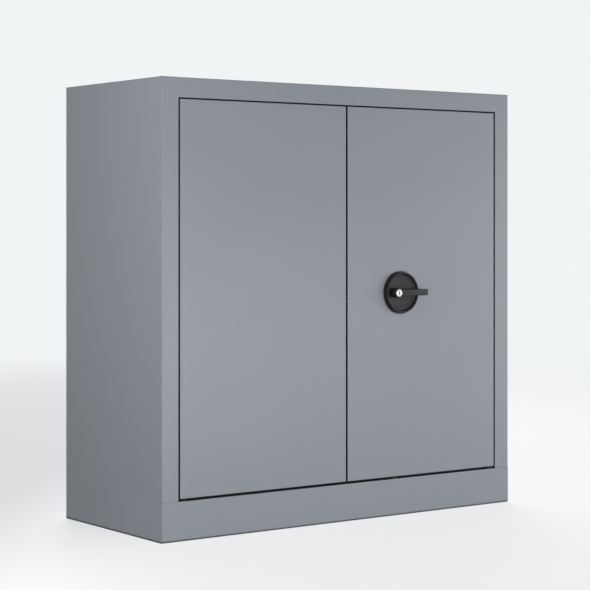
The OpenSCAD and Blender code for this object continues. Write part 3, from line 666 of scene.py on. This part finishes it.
def make_finishes(scene):
    """Makes one material for each finish."""
    lock = scene.cabinet_lock
    along_z = (1.0, 1.0, 0.03)
    all_ways = (1.0, 1.0, 1.0)
    satin_paint(FINISH_NAMES["paint"], scene.cabinet_paint)
    kinds = (
        # slot, maker, colour, roughness, and what else the maker takes
        ("handle", moulded_black, lock.black, 0.5, 0.5 * MM, 0.012 * MM, 0.24),
        ("lever", moulded_black, lock.lever_black, 0.44, 0.7 * MM, 0.01 * MM, 0.22),
        ("chrome", plated, (0.5, 0.5, 0.5), 0.26, all_ways, 0.0006 * MM, 0.02),
        ("zinc", plated, (0.55, 0.56, 0.57), 0.36, along_z, 0.006 * MM, 0.1),
        ("bare_steel", plated, (0.45, 0.45, 0.45), 0.34, along_z, 0.008 * MM, 0.06),
        ("nylon", soft_moulding, (0.012, 0.012, 0.013), 0.55, 0.8 * MM, 0.01 * MM, 0.08),
        ("black_pin", moulded_black, (0.008, 0.008, 0.009), 0.6, 0.4 * MM, 0.004 * MM, 0.08),
        ("rubber", soft_moulding, (0.03, 0.03, 0.03), 0.78, 0.5 * MM, 0.02 * MM, 0.15),
    )
    for slot, maker, *values in kinds:
        maker(FINISH_NAMES[slot], *values)


def finish_of(slot):
    return bpy.data.materials[FINISH_NAMES[slot]]


# ---------------------------------------------------------------- bench tools for meshes

def ease_sheet(node, edge):
    """Rounds a CAD node's edges and shades its folds smoothly; its vertices stay as they are."""
    mesh = node.data
    if "custom_normal" in mesh.attributes:
        mesh.attributes.remove(mesh.attributes["custom_normal"])
    mesh.shade_smooth()
    weld = node.modifiers.new("Weld Faces", "WELD")
    weld.merge_threshold = SAME_POINT
    flat = node.modifiers.new("Join Flats", "DECIMATE")
    flat.decimate_type = "DISSOLVE"
    flat.angle_limit = FLAT_ANGLE
    mark = node.modifiers.new("Mark Edges", "NODES")
    mark.node_group = bpy.data.node_groups[EDGE_MARKER]
    ease = node.modifiers.new("Ease Edges", "BEVEL")
    ease.width = edge
    ease.segments = 2
    ease.limit_method = "WEIGHT"
    ease.use_clamp_overlap = False
    ease.loop_slide = False
    smooth = node.modifiers.new("Keep Flats Flat", "WEIGHTED_NORMAL")
    smooth.weight = 100
    smooth.keep_sharp = True


def give_finish(names, edge):
    """Dresses CAD nodes in their own slot's finish."""
    for name in names:
        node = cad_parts[name]
        slot = node.data.materials[0].name.split(".")[0]
        node.data.materials[0] = finish_of(slot)
        ease_sheet(node, edge)


def eased(corners, steps=6):
    """A profile with rounded corners: each corner is (radius, depth, rounding)."""
    points = []
    for number, (radius, depth, rounding) in enumerate(corners):
        here = Vector((radius, depth))
        if not rounding or number in (0, len(corners) - 1):
            points.append(here)
            continue
        before = Vector(corners[number - 1][:2])
        after = Vector(corners[number + 1][:2])
        to_before = (before - here).normalized()
        to_after = (after - here).normalized()
        half = to_before.angle(to_after) / 2
        reach = rounding / math.tan(half)
        middle = here + (to_before + to_after).normalized() * (rounding / math.sin(half))
        start = here + to_before * reach - middle
        end = here + to_after * reach - middle
        sweep = start.angle_signed(end)
        for step in range(steps + 1):
            turn = -sweep * step / steps
            points.append(middle + Matrix.Rotation(turn, 2) @ start)
    return points


def new_piece(name, shape, middle=(0, 0, 0)):
    """Turns a bmesh into an object at a place, with its faces turned outwards."""
    bmesh.ops.remove_doubles(shape, verts=shape.verts, dist=SAME_POINT)
    bmesh.ops.recalc_face_normals(shape, faces=shape.faces)
    mesh = bpy.data.meshes.new(name)
    shape.to_mesh(mesh)
    shape.free()
    mesh.shade_smooth()
    mesh.set_sharp_from_angle(angle=EDGE_ANGLE)
    piece = bpy.data.objects.new(name, mesh)
    piece.location = middle
    bpy.context.scene.collection.objects.link(piece)
    return piece


def turned(profile, rounds=96, closed=False):
    """A bmesh turned about the Y axis: the profile's points are (radius, depth out of the door).

    A closed profile is a ring's section; an open one starts and ends on the axis.
    """
    shape = bmesh.new()
    rings = []
    for radius, depth in profile:
        if radius < SAME_POINT:
            rings.append([shape.verts.new((0, -depth, 0))])
            continue
        ring = []
        for number in range(rounds):
            angle = math.tau * number / rounds
            ring.append(
                shape.verts.new((radius * math.cos(angle), -depth, radius * math.sin(angle)))
            )
        rings.append(ring)
    pairs = list(zip(rings, rings[1:]))
    if closed:
        pairs.append((rings[-1], rings[0]))
    for first, second in pairs:
        for number in range(rounds):
            following = (number + 1) % rounds
            if len(first) == 1 and len(second) == 1:
                break
            if len(first) == 1:
                shape.faces.new((first[0], second[number], second[following]))
            elif len(second) == 1:
                shape.faces.new((first[number], second[0], first[following]))
            else:
                shape.faces.new(
                    (first[number], second[number], second[following], first[following])
                )
    return shape


def turned_piece(name, corners, place, rounds=96, closed=False):
    """A piece turned from a profile with rounded corners, about the Y axis through a place."""
    return new_piece(name, turned(eased(corners), rounds, closed), place)


def block(width, depth, height, edge):
    """A bmesh block with rounded edges."""
    shape = bmesh.new()
    bmesh.ops.create_cube(shape, size=1.0)
    bmesh.ops.scale(shape, verts=shape.verts, vec=(width, depth, height))
    bmesh.ops.bevel(
        shape, geom=shape.edges[:], offset=edge, segments=2, profile=0.5, affect="EDGES"
    )
    return shape


def extruded(outline, near, far):
    """A bmesh from an outline seen from the front, between two depths out of the door."""
    shape = bmesh.new()
    front = [shape.verts.new((x, -far, z)) for x, z in outline]
    back = [shape.verts.new((x, -near, z)) for x, z in outline]
    shape.faces.new(front)
    shape.faces.new(list(reversed(back)))
    count = len(outline)
    for number in range(count):
        following = (number + 1) % count
        shape.faces.new((front[following], front[number], back[number], back[following]))
    return shape


def combine(piece, tool, how):
    """Joins a tool to a piece, or cuts it away, and removes the tool."""
    step = piece.modifiers.new("Combine", "BOOLEAN")
    step.operation = how
    step.solver = "EXACT"
    step.object = tool
    bpy.context.view_layer.update()
    seen = piece.evaluated_get(bpy.context.evaluated_depsgraph_get())
    mesh = bpy.data.meshes.new_from_object(seen)
    piece.modifiers.clear()
    piece.data = mesh
    mesh.shade_smooth()
    mesh.set_sharp_from_angle(angle=EDGE_ANGLE)
    bpy.data.objects.remove(tool)


def fit_piece(piece, body, slot, *nodes):
    """Gives a piece its finish and its body, and hides the CAD nodes that it stands for."""
    piece.data.materials.clear()
    piece.data.materials.append(finish_of(slot))
    if nodes:
        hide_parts(*nodes)
    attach(piece, body)


# ---------------------------------------------------------------- operators

class MakeFinishes(bpy.types.Operator):
    """Builds the paint, the plating and the other finishes"""

    bl_idname = "cabinet.make_finishes"
    bl_label = "Make Finishes"

    def execute(self, context):
        make_effects()
        make_finishes(context.scene)
        return {"FINISHED"}


class PaintSheets(bpy.types.Operator):
    """Paints the body, doors, shelves and their stiffeners, and rounds their edges"""

    bl_idname = "cabinet.paint_sheets"
    bl_label = "Paint Sheets"

    def execute(self, context):
        give_finish(nodes_in("paint"), context.scene.cabinet_paint.sheet_edge)
        return {"FINISHED"}


class FinishFittings(bpy.types.Operator):
    """Plates the brackets, lock works, rods and pins, and finishes the nylon parts"""

    bl_idname = "cabinet.finish_fittings"
    bl_label = "Finish Fittings"

    fitting_edge: length_setting("Fitting Edge", "Radius of the fittings' edges", 0.2 * MM)

    def execute(self, context):
        rebuilt = {
            "escutcheon_screws", "cover_screws", "spindle_screw", "pivot_nuts",
            "door_buffers", "lock_cylinder", "lock_plug", "escutcheon", "lever_handle",
        }
        names = [
            name
            for name in nodes_in("zinc", "bare_steel", "nylon", "rubber", "black_pin")
            if name not in rebuilt
        ]
        give_finish(names, self.fitting_edge)
        return {"FINISHED"}


class BuildDish(bpy.types.Operator):
    """Turns the round plate with its rolled rim and dish"""

    bl_idname = "cabinet.build_dish"
    bl_label = "Build Dished Plate"

    def execute(self, context):
        sizes = context.scene.cabinet_lock
        middle = box_middle(DISH_LOW, DISH_HIGH)
        outer = (DISH_HIGH.x - DISH_LOW.x) / 2
        rim = DISH_HIGH.y - DISH_LOW.y
        floor = sizes.dish_floor
        inner = outer - sizes.rim_width
        corners = (
            (0.0, 0.0, 0.0),
            (outer - 0.5 * MM, 0.0, 0.4 * MM),
            (outer, 0.7 * MM, 0.8 * MM),
            (outer, rim, 1.8 * MM),
            (inner + 0.6 * MM, rim, 1.6 * MM),
            (inner - 1.0 * MM, floor, 2.6 * MM),
            (0.0, floor, 0.0),
        )
        plate = turned_piece(
            "dished_plate", corners, (middle.x, DOOR_FACE, middle.z), rounds=144
        )
        bore_r = 8.05 * MM
        section = [(0.0, -CUT), (bore_r, -CUT), (bore_r, rim + CUT), (0.0, rim + CUT)]
        bore = new_piece("bore", turned(section, rounds=64), AXIS_PLACE)
        combine(plate, bore, "DIFFERENCE")
        fit_piece(plate, "right_door", "handle", "escutcheon")
        return {"FINISHED"}


class BuildLever(bpy.types.Operator):
    """Casts the lever: turned hub with a pocket, straight arm with soft edges"""

    bl_idname = "cabinet.build_lever"
    bl_label = "Build Lever"

    def execute(self, context):
        sizes = context.scene.cabinet_lock
        reach = LEVER_HIGH.x - PIVOT.x
        hub_r = PIVOT.x - LEVER_LOW.x
        hub_face = DOOR_FACE - LEVER_LOW.y
        hub_back = sizes.dish_floor + 0.3 * MM
        journal_r = 8 * MM
        journal_back = DOOR_FACE - LEVER_HIGH.y
        pocket_r = (KEY_HIGH.x - KEY_LOW.x) / 2 + 0.05 * MM
        pocket_back = DOOR_FACE - KEY_HIGH.y
        socket_r = 5.8 * MM
        corners = (
            (socket_r, journal_back, 0.0),
            (journal_r, journal_back, 0.3 * MM),
            (journal_r, hub_back, 0.0),
            (hub_r, hub_back, 0.5 * MM),
            (hub_r, hub_face, sizes.edge),
            (pocket_r, hub_face, 0.25 * MM),
            (pocket_r, pocket_back, 0.0),
            (socket_r, pocket_back, 0.0),
        )
        hub = turned_piece("lever", corners, AXIS_PLACE, rounds=128, closed=True)
        half = sizes.arm_height / 2
        root_r = (hub_r + pocket_r) / 2
        spread = math.asin(half / root_r)
        outline = []
        root_steps = 10
        for step in range(root_steps + 1):
            angle = -spread + 2 * spread * step / root_steps
            outline.append((root_r * math.cos(angle), root_r * math.sin(angle)))
        corner = 1.8 * MM
        for side in (1, -1):
            for step in range(7):
                angle = math.pi / 2 * step / 6
                if side == 1:
                    angle = math.pi / 2 - angle
                outline.append(
                    (
                        reach - corner + corner * math.cos(angle),
                        side * (half - corner + corner * math.sin(angle)),
                    )
                )
        arm_shape = extruded(
            list(reversed(outline)), sizes.arm_face - sizes.arm_thickness, sizes.arm_face
        )
        ends = [face for face in arm_shape.faces if len(face.verts) > 4]
        arm_shape.normal_update()
        rim = {edge for face in ends for edge in face.edges}
        bmesh.ops.bevel(
            arm_shape, geom=list(rim), offset=sizes.edge, segments=4, profile=0.5, affect="EDGES"
        )
        arm = new_piece("arm", arm_shape, AXIS_PLACE)
        combine(hub, arm, "UNION")
        fit_piece(hub, "lever", "lever", "lever_handle")
        return {"FINISHED"}


class BuildKeyLock(bpy.types.Operator):
    """Turns the key cylinder and its plug, and cuts the keyway"""

    bl_idname = "cabinet.build_key_lock"
    bl_label = "Build Key Lock"

    def execute(self, context):
        sizes = context.scene.cabinet_lock
        plug_low, plug_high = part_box("lock_plug")
        face = DOOR_FACE - KEY_LOW.y
        back = DOOR_FACE - KEY_HIGH.y
        plug_back = DOOR_FACE - plug_high.y
        outer = (KEY_HIGH.x - KEY_LOW.x) / 2
        plug_r = (plug_high.x - plug_low.x) / 2
        bore = plug_r + 0.05 * MM
        cam_room_r = 7.6 * MM
        corners = (
            (cam_room_r, back, 0.0),
            (outer, back, 0.0),
            (outer, face, 0.55 * MM),
            (bore + 0.5 * MM, face, 0.12 * MM),
            (bore, face - 0.35 * MM, 0.1 * MM),
            (bore, plug_back, 0.0),
            (cam_room_r, plug_back, 0.0),
        )
        cylinder = turned_piece("key_cylinder", corners, AXIS_PLACE, closed=True)
        fit_piece(cylinder, "lever", "chrome", "lock_cylinder")
        plug_face = face - 0.15 * MM
        corners = (
            (0.0, plug_back, 0.0),
            (plug_r, plug_back, 0.0),
            (plug_r, plug_face, 0.3 * MM),
            (0.0, plug_face, 0.0),
        )
        plug = turned_piece("key_plug_turned", corners, AXIS_PLACE)
        width, depth, height = sizes.keyway
        middle_y = DOOR_FACE - face + depth / 2 - CUT / 2
        cuts = (
            # across, up, width, height, rounding: the slot, and the step for the key's ward
            (0.0, 0.0, width, height, 0.3 * MM),
            (width * 0.42, -height * 0.22, width * 0.7, height * 0.2, 0.1 * MM),
        )
        for across, up, cut_width, cut_height, rounding in cuts:
            cutter = new_piece(
                "keyway",
                block(cut_width, depth + CUT, cut_height, edge=rounding),
                (PIVOT.x + across, middle_y, PIVOT.z + up),
            )
            combine(plug, cutter, "DIFFERENCE")
        fit_piece(plug, "key_plug", "chrome", "lock_plug")
        return {"FINISHED"}


def join_pieces(name, pieces):
    """One object from several, with their meshes side by side."""
    bpy.context.view_layer.update()
    shape = bmesh.new()
    for piece in pieces:
        mesh = piece.data.copy()
        mesh.transform(piece.matrix_world)
        shape.from_mesh(mesh)
        bpy.data.meshes.remove(mesh)
        bpy.data.objects.remove(piece)
    mesh = bpy.data.meshes.new(name)
    shape.to_mesh(mesh)
    shape.free()
    mesh.shade_smooth()
    mesh.set_sharp_from_angle(angle=EDGE_ANGLE)
    joined = bpy.data.objects.new(name, mesh)
    bpy.context.scene.collection.objects.link(joined)
    return joined


def pan_head_screw(low, high, head_r, head_t, shank_r):
    """A screw along Y whose rounded head with a cross recess is at the high end."""
    middle = box_middle(low, high)
    tip = -low.y
    under = head_t - high.y
    crown = -high.y
    corners = (
        (0.0, crown, 0.0),
        (head_r * 0.72, crown, head_r * 0.5),
        (head_r, crown + head_t * 0.62, head_t * 0.3),
        (head_r, under, 0.0),
        (shank_r, under, 0.0),
        (shank_r, tip - 0.5 * MM, 0.0),
        (shank_r * 0.6, tip, 0.0),
        (0.0, tip, 0.0),
    )
    screw = turned_piece("screw", corners, (middle.x, 0, middle.z), rounds=40)
    arm = head_r * 1.05
    width = head_r * 0.26
    for turn in (math.radians(45), math.radians(-45)):
        bar = new_piece(
            "recess",
            block(arm, head_t * 1.1, width, edge=width * 0.18),
            (middle.x, high.y, middle.z),
        )
        bar.rotation_euler = (0, turn, 0)
        combine(screw, bar, "DIFFERENCE")
    return screw


class BuildScrews(bpy.types.Operator):
    """Makes the round-headed screws with cross recesses behind the right door's sheet"""

    bl_idname = "cabinet.build_screws"
    bl_label = "Build Screws"

    def execute(self, context):
        kinds = (
            # node, piece, body, thickness of the head, radius of the shank
            ("escutcheon_screws", "plate_screws", "right_door", 2.4 * MM, 1.95 * MM),
            ("cover_screws", "case_screws", "right_door", 1.6 * MM, 1.35 * MM),
            ("spindle_screw", "lever_screw", "lever", 2.5 * MM, 1.95 * MM),
        )
        for node, name, body, head_t, shank_r in kinds:
            screws = [
                pan_head_screw(low, high, (high.x - low.x) / 2, head_t, shank_r)
                for low, high in solids_of(node)
            ]
            fit_piece(join_pieces(name, screws), body, "zinc", node)
        return {"FINISHED"}


class BuildNuts(bpy.types.Operator):
    """Makes the hexagon nuts of the door pivots with chamfered corners"""

    bl_idname = "cabinet.build_nuts"
    bl_label = "Build Pivot Nuts"

    def execute(self, context):
        nuts = []
        for low, high in solids_of("pivot_nuts"):
            middle = box_middle(low, high)
            corner_r = (high.x - low.x) / 2
            flat_r = corner_r * math.cos(math.radians(30))
            height = high.z - low.z
            bore = 3.05 * MM
            chamfer = 0.5 * MM
            corners = [
                (corner_r * math.cos(math.radians(turn)), corner_r * math.sin(math.radians(turn)))
                for turn in range(0, 360, 60)
            ]
            nut = new_piece("nut", extruded(corners, -height / 2, height / 2), middle)
            nut.rotation_euler = (math.pi / 2, 0, 0)
            ends = height / 2
            corners = (
                (0.0, -ends, 0.0),
                (flat_r * 0.96, -ends, 0.0),
                (corner_r * 1.03, height * 0.18 - ends, 0.0),
                (corner_r * 1.03, ends - height * 0.18, 0.0),
                (flat_r * 0.96, ends, 0.0),
                (0.0, ends, 0.0),
            )
            cone = turned_piece("cone", corners, middle, rounds=48)
            cone.rotation_euler = (math.pi / 2, 0, 0)
            combine(nut, cone, "INTERSECT")
            section = [
                (0.0, -ends - CUT),
                (bore + chamfer + CUT, -ends - CUT),
                (bore, chamfer - ends),
                (bore, ends - chamfer),
                (bore + chamfer + CUT, ends + CUT),
                (0.0, ends + CUT),
            ]
            hole = new_piece("hole", turned(section, rounds=40), middle)
            hole.rotation_euler = (math.pi / 2, 0, 0)
            combine(nut, hole, "DIFFERENCE")
            nuts.append(nut)
        fit_piece(join_pieces("pivot_hex_nuts", nuts), "carcass", "zinc", "pivot_nuts")
        return {"FINISHED"}


class BuildBuffers(bpy.types.Operator):
    """Moulds the domed rubber buffers on the door stops"""

    bl_idname = "cabinet.build_buffers"
    bl_label = "Build Buffers"

    def execute(self, context):
        buffers = []
        for low, high in solids_of("door_buffers"):
            middle = box_middle(low, high)
            radius = (high.x - low.x) / 2
            back = -high.y
            crown = -low.y
            corners = (
                (0.0, back, 0.0),
                (radius, back, 0.0),
                (radius, back + 1.1 * MM, 0.5 * MM),
                (radius * 0.78, crown, 1.0 * MM),
                (radius * 0.3, crown, 0.3 * MM),
                (radius * 0.16, crown - 0.5 * MM, 0.3 * MM),
                (0.0, crown - 0.5 * MM, 0.0),
            )
            place = (middle.x, 0, middle.z)
            buffers.append(turned_piece("buffer", corners, place, rounds=48))
        fit_piece(join_pieces("rubber_buffers", buffers), "carcass", "rubber", "door_buffers")
        return {"FINISHED"}


def weld_marks(name, places, facing):
    """Shallow rings that spot welding leaves under the paint, on faces that look along Y."""
    rise = 0.16 * MM
    profile = eased(
        [
            (0.0, 0.06 * MM, 0.0),
            (1.5 * MM, 0.05 * MM, 0.6 * MM),
            (2.5 * MM, rise, 0.5 * MM),
            (3.4 * MM, -SKIN_GAP, 0.0),
            (0.0, -SKIN_GAP, 0.0),
        ],
        steps=3,
    )
    marks = []
    for place in places:
        mark = new_piece("mark", turned(profile, rounds=24), place)
        if facing > 0:
            mark.rotation_euler = (0, 0, math.pi)
        marks.append(mark)
    return join_pieces(name, marks)


def spaced(start, end, count):
    return [start + (end - start) * step / (count - 1) for step in range(count)]


class FillJoints(bpy.types.Operator):
    """Fills and sands the joints between the front rail and the stiles"""

    bl_idname = "cabinet.fill_joints"
    bl_label = "Fill Frame Joints"

    def execute(self, context):
        rail_low, rail_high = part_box("top_panel")
        door_low, door_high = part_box("left_door_skin")
        hinge_gap, top_gap = 3.5 * MM, 2.5 * MM
        clear_below, clear_above = 2.2 * MM, 1.6 * MM
        width, depth, rounding, proud = 3.0 * MM, 0.3 * MM, 0.1 * MM, 0.03 * MM
        stile_edge = hinge_gap - door_low.x
        low = door_high.z + top_gap + clear_below
        high = rail_high.z - clear_above
        fills = []
        for side in (-1, 1):
            fills.append(
                new_piece(
                    "fill",
                    block(width, depth, high - low, edge=rounding),
                    (side * stile_edge, rail_low.y + depth / 2 - proud, (low + high) / 2),
                )
            )
        fit_piece(join_pieces("frame_joint_fill", fills), "carcass", "paint")
        return {"FINISHED"}


class BuildWelds(bpy.types.Operator):
    """Leaves the spot welds' marks on the back and on the doors' stiffeners"""

    bl_idname = "cabinet.build_welds"
    bl_label = "Build Spot Welds"

    def execute(self, context):
        low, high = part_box("back_panel")
        inset, sheet = 9 * MM, 1 * MM
        places = []
        for z in spaced(low.z + 30 * MM, high.z - 30 * MM, 9):
            places += [(low.x + inset, high.y, z), (high.x - inset, high.y, z)]
        for x in spaced(low.x + 70 * MM, high.x - 70 * MM, 8):
            places += [(x, high.y, low.z + inset), (x, high.y, high.z - inset)]
        fit_piece(weld_marks("back_spot_welds", places, 1), "carcass", "paint")
        for body in ("left_door", "right_door"):
            low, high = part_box(body + "_stiffener")
            face = low.y + sheet
            places = [
                (x, face, z)
                for x in (low.x + 5 * MM, high.x - 5 * MM)
                for z in spaced(low.z + 40 * MM, high.z - 40 * MM, 7)
            ]
            fit_piece(weld_marks(body + "_spot_welds", places, 1), body, "paint")
        return {"FINISHED"}


LIGHTS = (
    # name, place, aim, width, height, watts
    ("Right Softbox", (3.2, -1.6, 0.5), (0.1, -0.2, 0.4), 1.4, 1.4, 40.5),
    ("Low Strip", (0.15, -2.4, 0.25), (0.15, -0.2, 0.25), 3.0, 0.5, 23.0),
    ("Near Strip", (-1.45, -0.58, 0.9), (-0.5, -0.2, 0.75), 0.3, 1.6, 8.3),
    ("High Left Softbox", (-2.0, -1.2, 2.6), (-0.5, -0.1, 0.7), 1.2, 1.2, 4.0),
    ("Rear Softbox", (0.9, 2.4, 2.3), (0.0, 0.2, 0.7), 2.2, 2.2, 50.0),
)


# Brightness that the camera and the gloss see on the floor besides its lit colour
FLOOR_GLOW = 2.5


# Painted shade on the floor: it darkens to this tone, from here to there, towards the back at the
# left
SHADED_WAY = (-0.7, 0.7, 0.0)
SHADED_FROM, SHADED_TO, SHADED_TONE = 0.2, 0.8, 0.68


def seen_rays(tree):
    """1 for the rays by which the camera sees, straight or by gloss and glass, and else 0."""
    rays = add(tree, "ShaderNodeLightPath").outputs
    seen = rays["Is Camera Ray"]
    for kind in ("Is Glossy Ray", "Is Transmission Ray"):
        seen = reckon(tree, "MAXIMUM", seen, rays[kind])
    return seen


class BuildStage(bpy.types.Operator):
    """Sets the camera, the pale floor and the soft studio light"""

    bl_idname = "cabinet.build_stage"
    bl_label = "Build Stage"

    def execute(self, context):
        scene = context.scene
        sizes = scene.cabinet_studio
        lens = bpy.data.cameras.new("Camera")
        lens.lens = sizes.lens
        lens.sensor_width = 36
        lens.shift_y = sizes.shift
        camera = bpy.data.objects.new("Camera", lens)
        camera.location = sizes.camera_place
        camera.rotation_euler = (math.radians(90), 0, sizes.camera_turn)
        scene.collection.objects.link(camera)
        scene.camera = camera
        self.lay_floor(scene, sizes)
        for name, place, aim, width, height, watts in LIGHTS:
            lamp = bpy.data.lights.new(name, "AREA")
            lamp.shape = "RECTANGLE"
            lamp.size = width
            lamp.size_y = height
            lamp.energy = watts
            box = bpy.data.objects.new(name, lamp)
            box.location = place
            look = Vector(aim) - Vector(place)
            box.rotation_euler = look.to_track_quat("-Z", "Y").to_euler()
            box.visible_camera = False
            scene.collection.objects.link(box)
        self.light_room(scene, sizes)
        scene.view_settings.view_transform = "Standard"
        return {"FINISHED"}

    def lay_floor(self, scene, sizes):
        """A round paper floor whose rim fades into the background, with painted shade towards the
        back at the left.
        """
        shape = bmesh.new()
        bmesh.ops.create_circle(shape, cap_ends=True, segments=96, radius=9.0)
        floor = new_piece("studio_floor", shape)
        tree, shader, place, material = start_material("Studio Floor")
        toned = tone_of(tree, place, opaque(sizes.floor_colour), 0.01, 0.5)
        # Painted shade: the floor's colour darkens towards the back at the left
        across = reckon_vector(tree, "DOT_PRODUCT", place, SHADED_WAY, result="Value")
        tone = remap(
            tree, across, SHADED_FROM, SHADED_TO, low=1.0, high=SHADED_TONE, shape="SMOOTHSTEP"
        )
        paper = reckon_vector(tree, "MULTIPLY", toned, tone)
        feed(tree, shader, Base_Color=paper, Roughness=0.6, Emission_Color=paper)
        shader.inputs["Specular IOR Level"].default_value = 0.25
        glow = reckon(tree, "MULTIPLY", seen_rays(tree), FLOOR_GLOW)
        tree.links.new(glow, shader.inputs["Emission Strength"])
        distance = reckon_vector(tree, "LENGTH", place, result="Value")
        fade = remap(tree, distance, 1.2, 5.5, shape="SMOOTHSTEP")
        clear = add(tree, "ShaderNodeBsdfTransparent").outputs[0]
        mixed = add(tree, "ShaderNodeMixShader", {0: fade, 1: shader.outputs[0], 2: clear})
        output = next(node for node in tree.nodes if node.type == "OUTPUT_MATERIAL")
        tree.links.new(mixed.outputs[0], output.inputs["Surface"])
        floor.data.materials.append(material)

    def light_room(self, scene, sizes):
        """Soft light from all round; the camera and the gloss see the pale background."""
        world = bpy.data.worlds.new("Studio Room")
        world.use_nodes = True
        tree = world.node_tree
        tree.nodes.clear()
        seen = seen_rays(tree)
        feeds = {0: seen}
        kinds = (((1, 1, 1), sizes.room_light), (sizes.background, 1.0))
        for number, (colour, strength) in enumerate(kinds, 1):
            feeds[number] = add(
                tree, "ShaderNodeBackground", {"Color": opaque(colour), "Strength": strength}
            ).outputs[0]
        mixed = add(tree, "ShaderNodeMixShader", feeds)
        add(tree, "ShaderNodeOutputWorld", {"Surface": mixed.outputs[0]})
        scene.world = world


# ---------------------------------------------------------------- panel and start

STEPS = (
    MakeFinishes, PaintSheets, FinishFittings, BuildDish, BuildLever, BuildKeyLock,
    BuildScrews, BuildNuts, BuildBuffers, FillJoints, BuildWelds, BuildStage,
)
SETTINGS = {
    "cabinet_paint": PaintSizes,
    "cabinet_lock": LockSizes,
    "cabinet_studio": StudioSizes,
}


class CabinetPanel(bpy.types.Panel):
    """Lists the steps that dress the cabinet, and their sizes"""

    bl_idname = "VIEW3D_PT_tool_cabinet"
    bl_label = "Tool Cabinet"
    bl_space_type = "VIEW_3D"
    bl_region_type = "UI"
    bl_category = "Tool Cabinet"

    def draw(self, context):
        for name, kind in SETTINGS.items():
            box = self.layout.box()
            box.label(text=kind.__doc__)
            settings = getattr(context.scene, name)
            for field in kind.__annotations__:
                box.prop(settings, field)
        for step in STEPS:
            self.layout.operator(step.bl_idname)


def register():
    for kind in (*SETTINGS.values(), *STEPS, CabinetPanel):
        bpy.utils.register_class(kind)
    for name, kind in SETTINGS.items():
        setattr(bpy.types.Scene, name, bpy.props.PointerProperty(type=kind))


def unregister():
    for name in SETTINGS:
        delattr(bpy.types.Scene, name)
    for kind in reversed((*SETTINGS.values(), *STEPS, CabinetPanel)):
        bpy.utils.unregister_class(kind)


def main():
    register()
    for step in STEPS:
        family, action = step.bl_idname.split(".")
        getattr(getattr(bpy.ops, family), action)()
    bpy.context.view_layer.update()


if __name__ == "__main__":
    main()
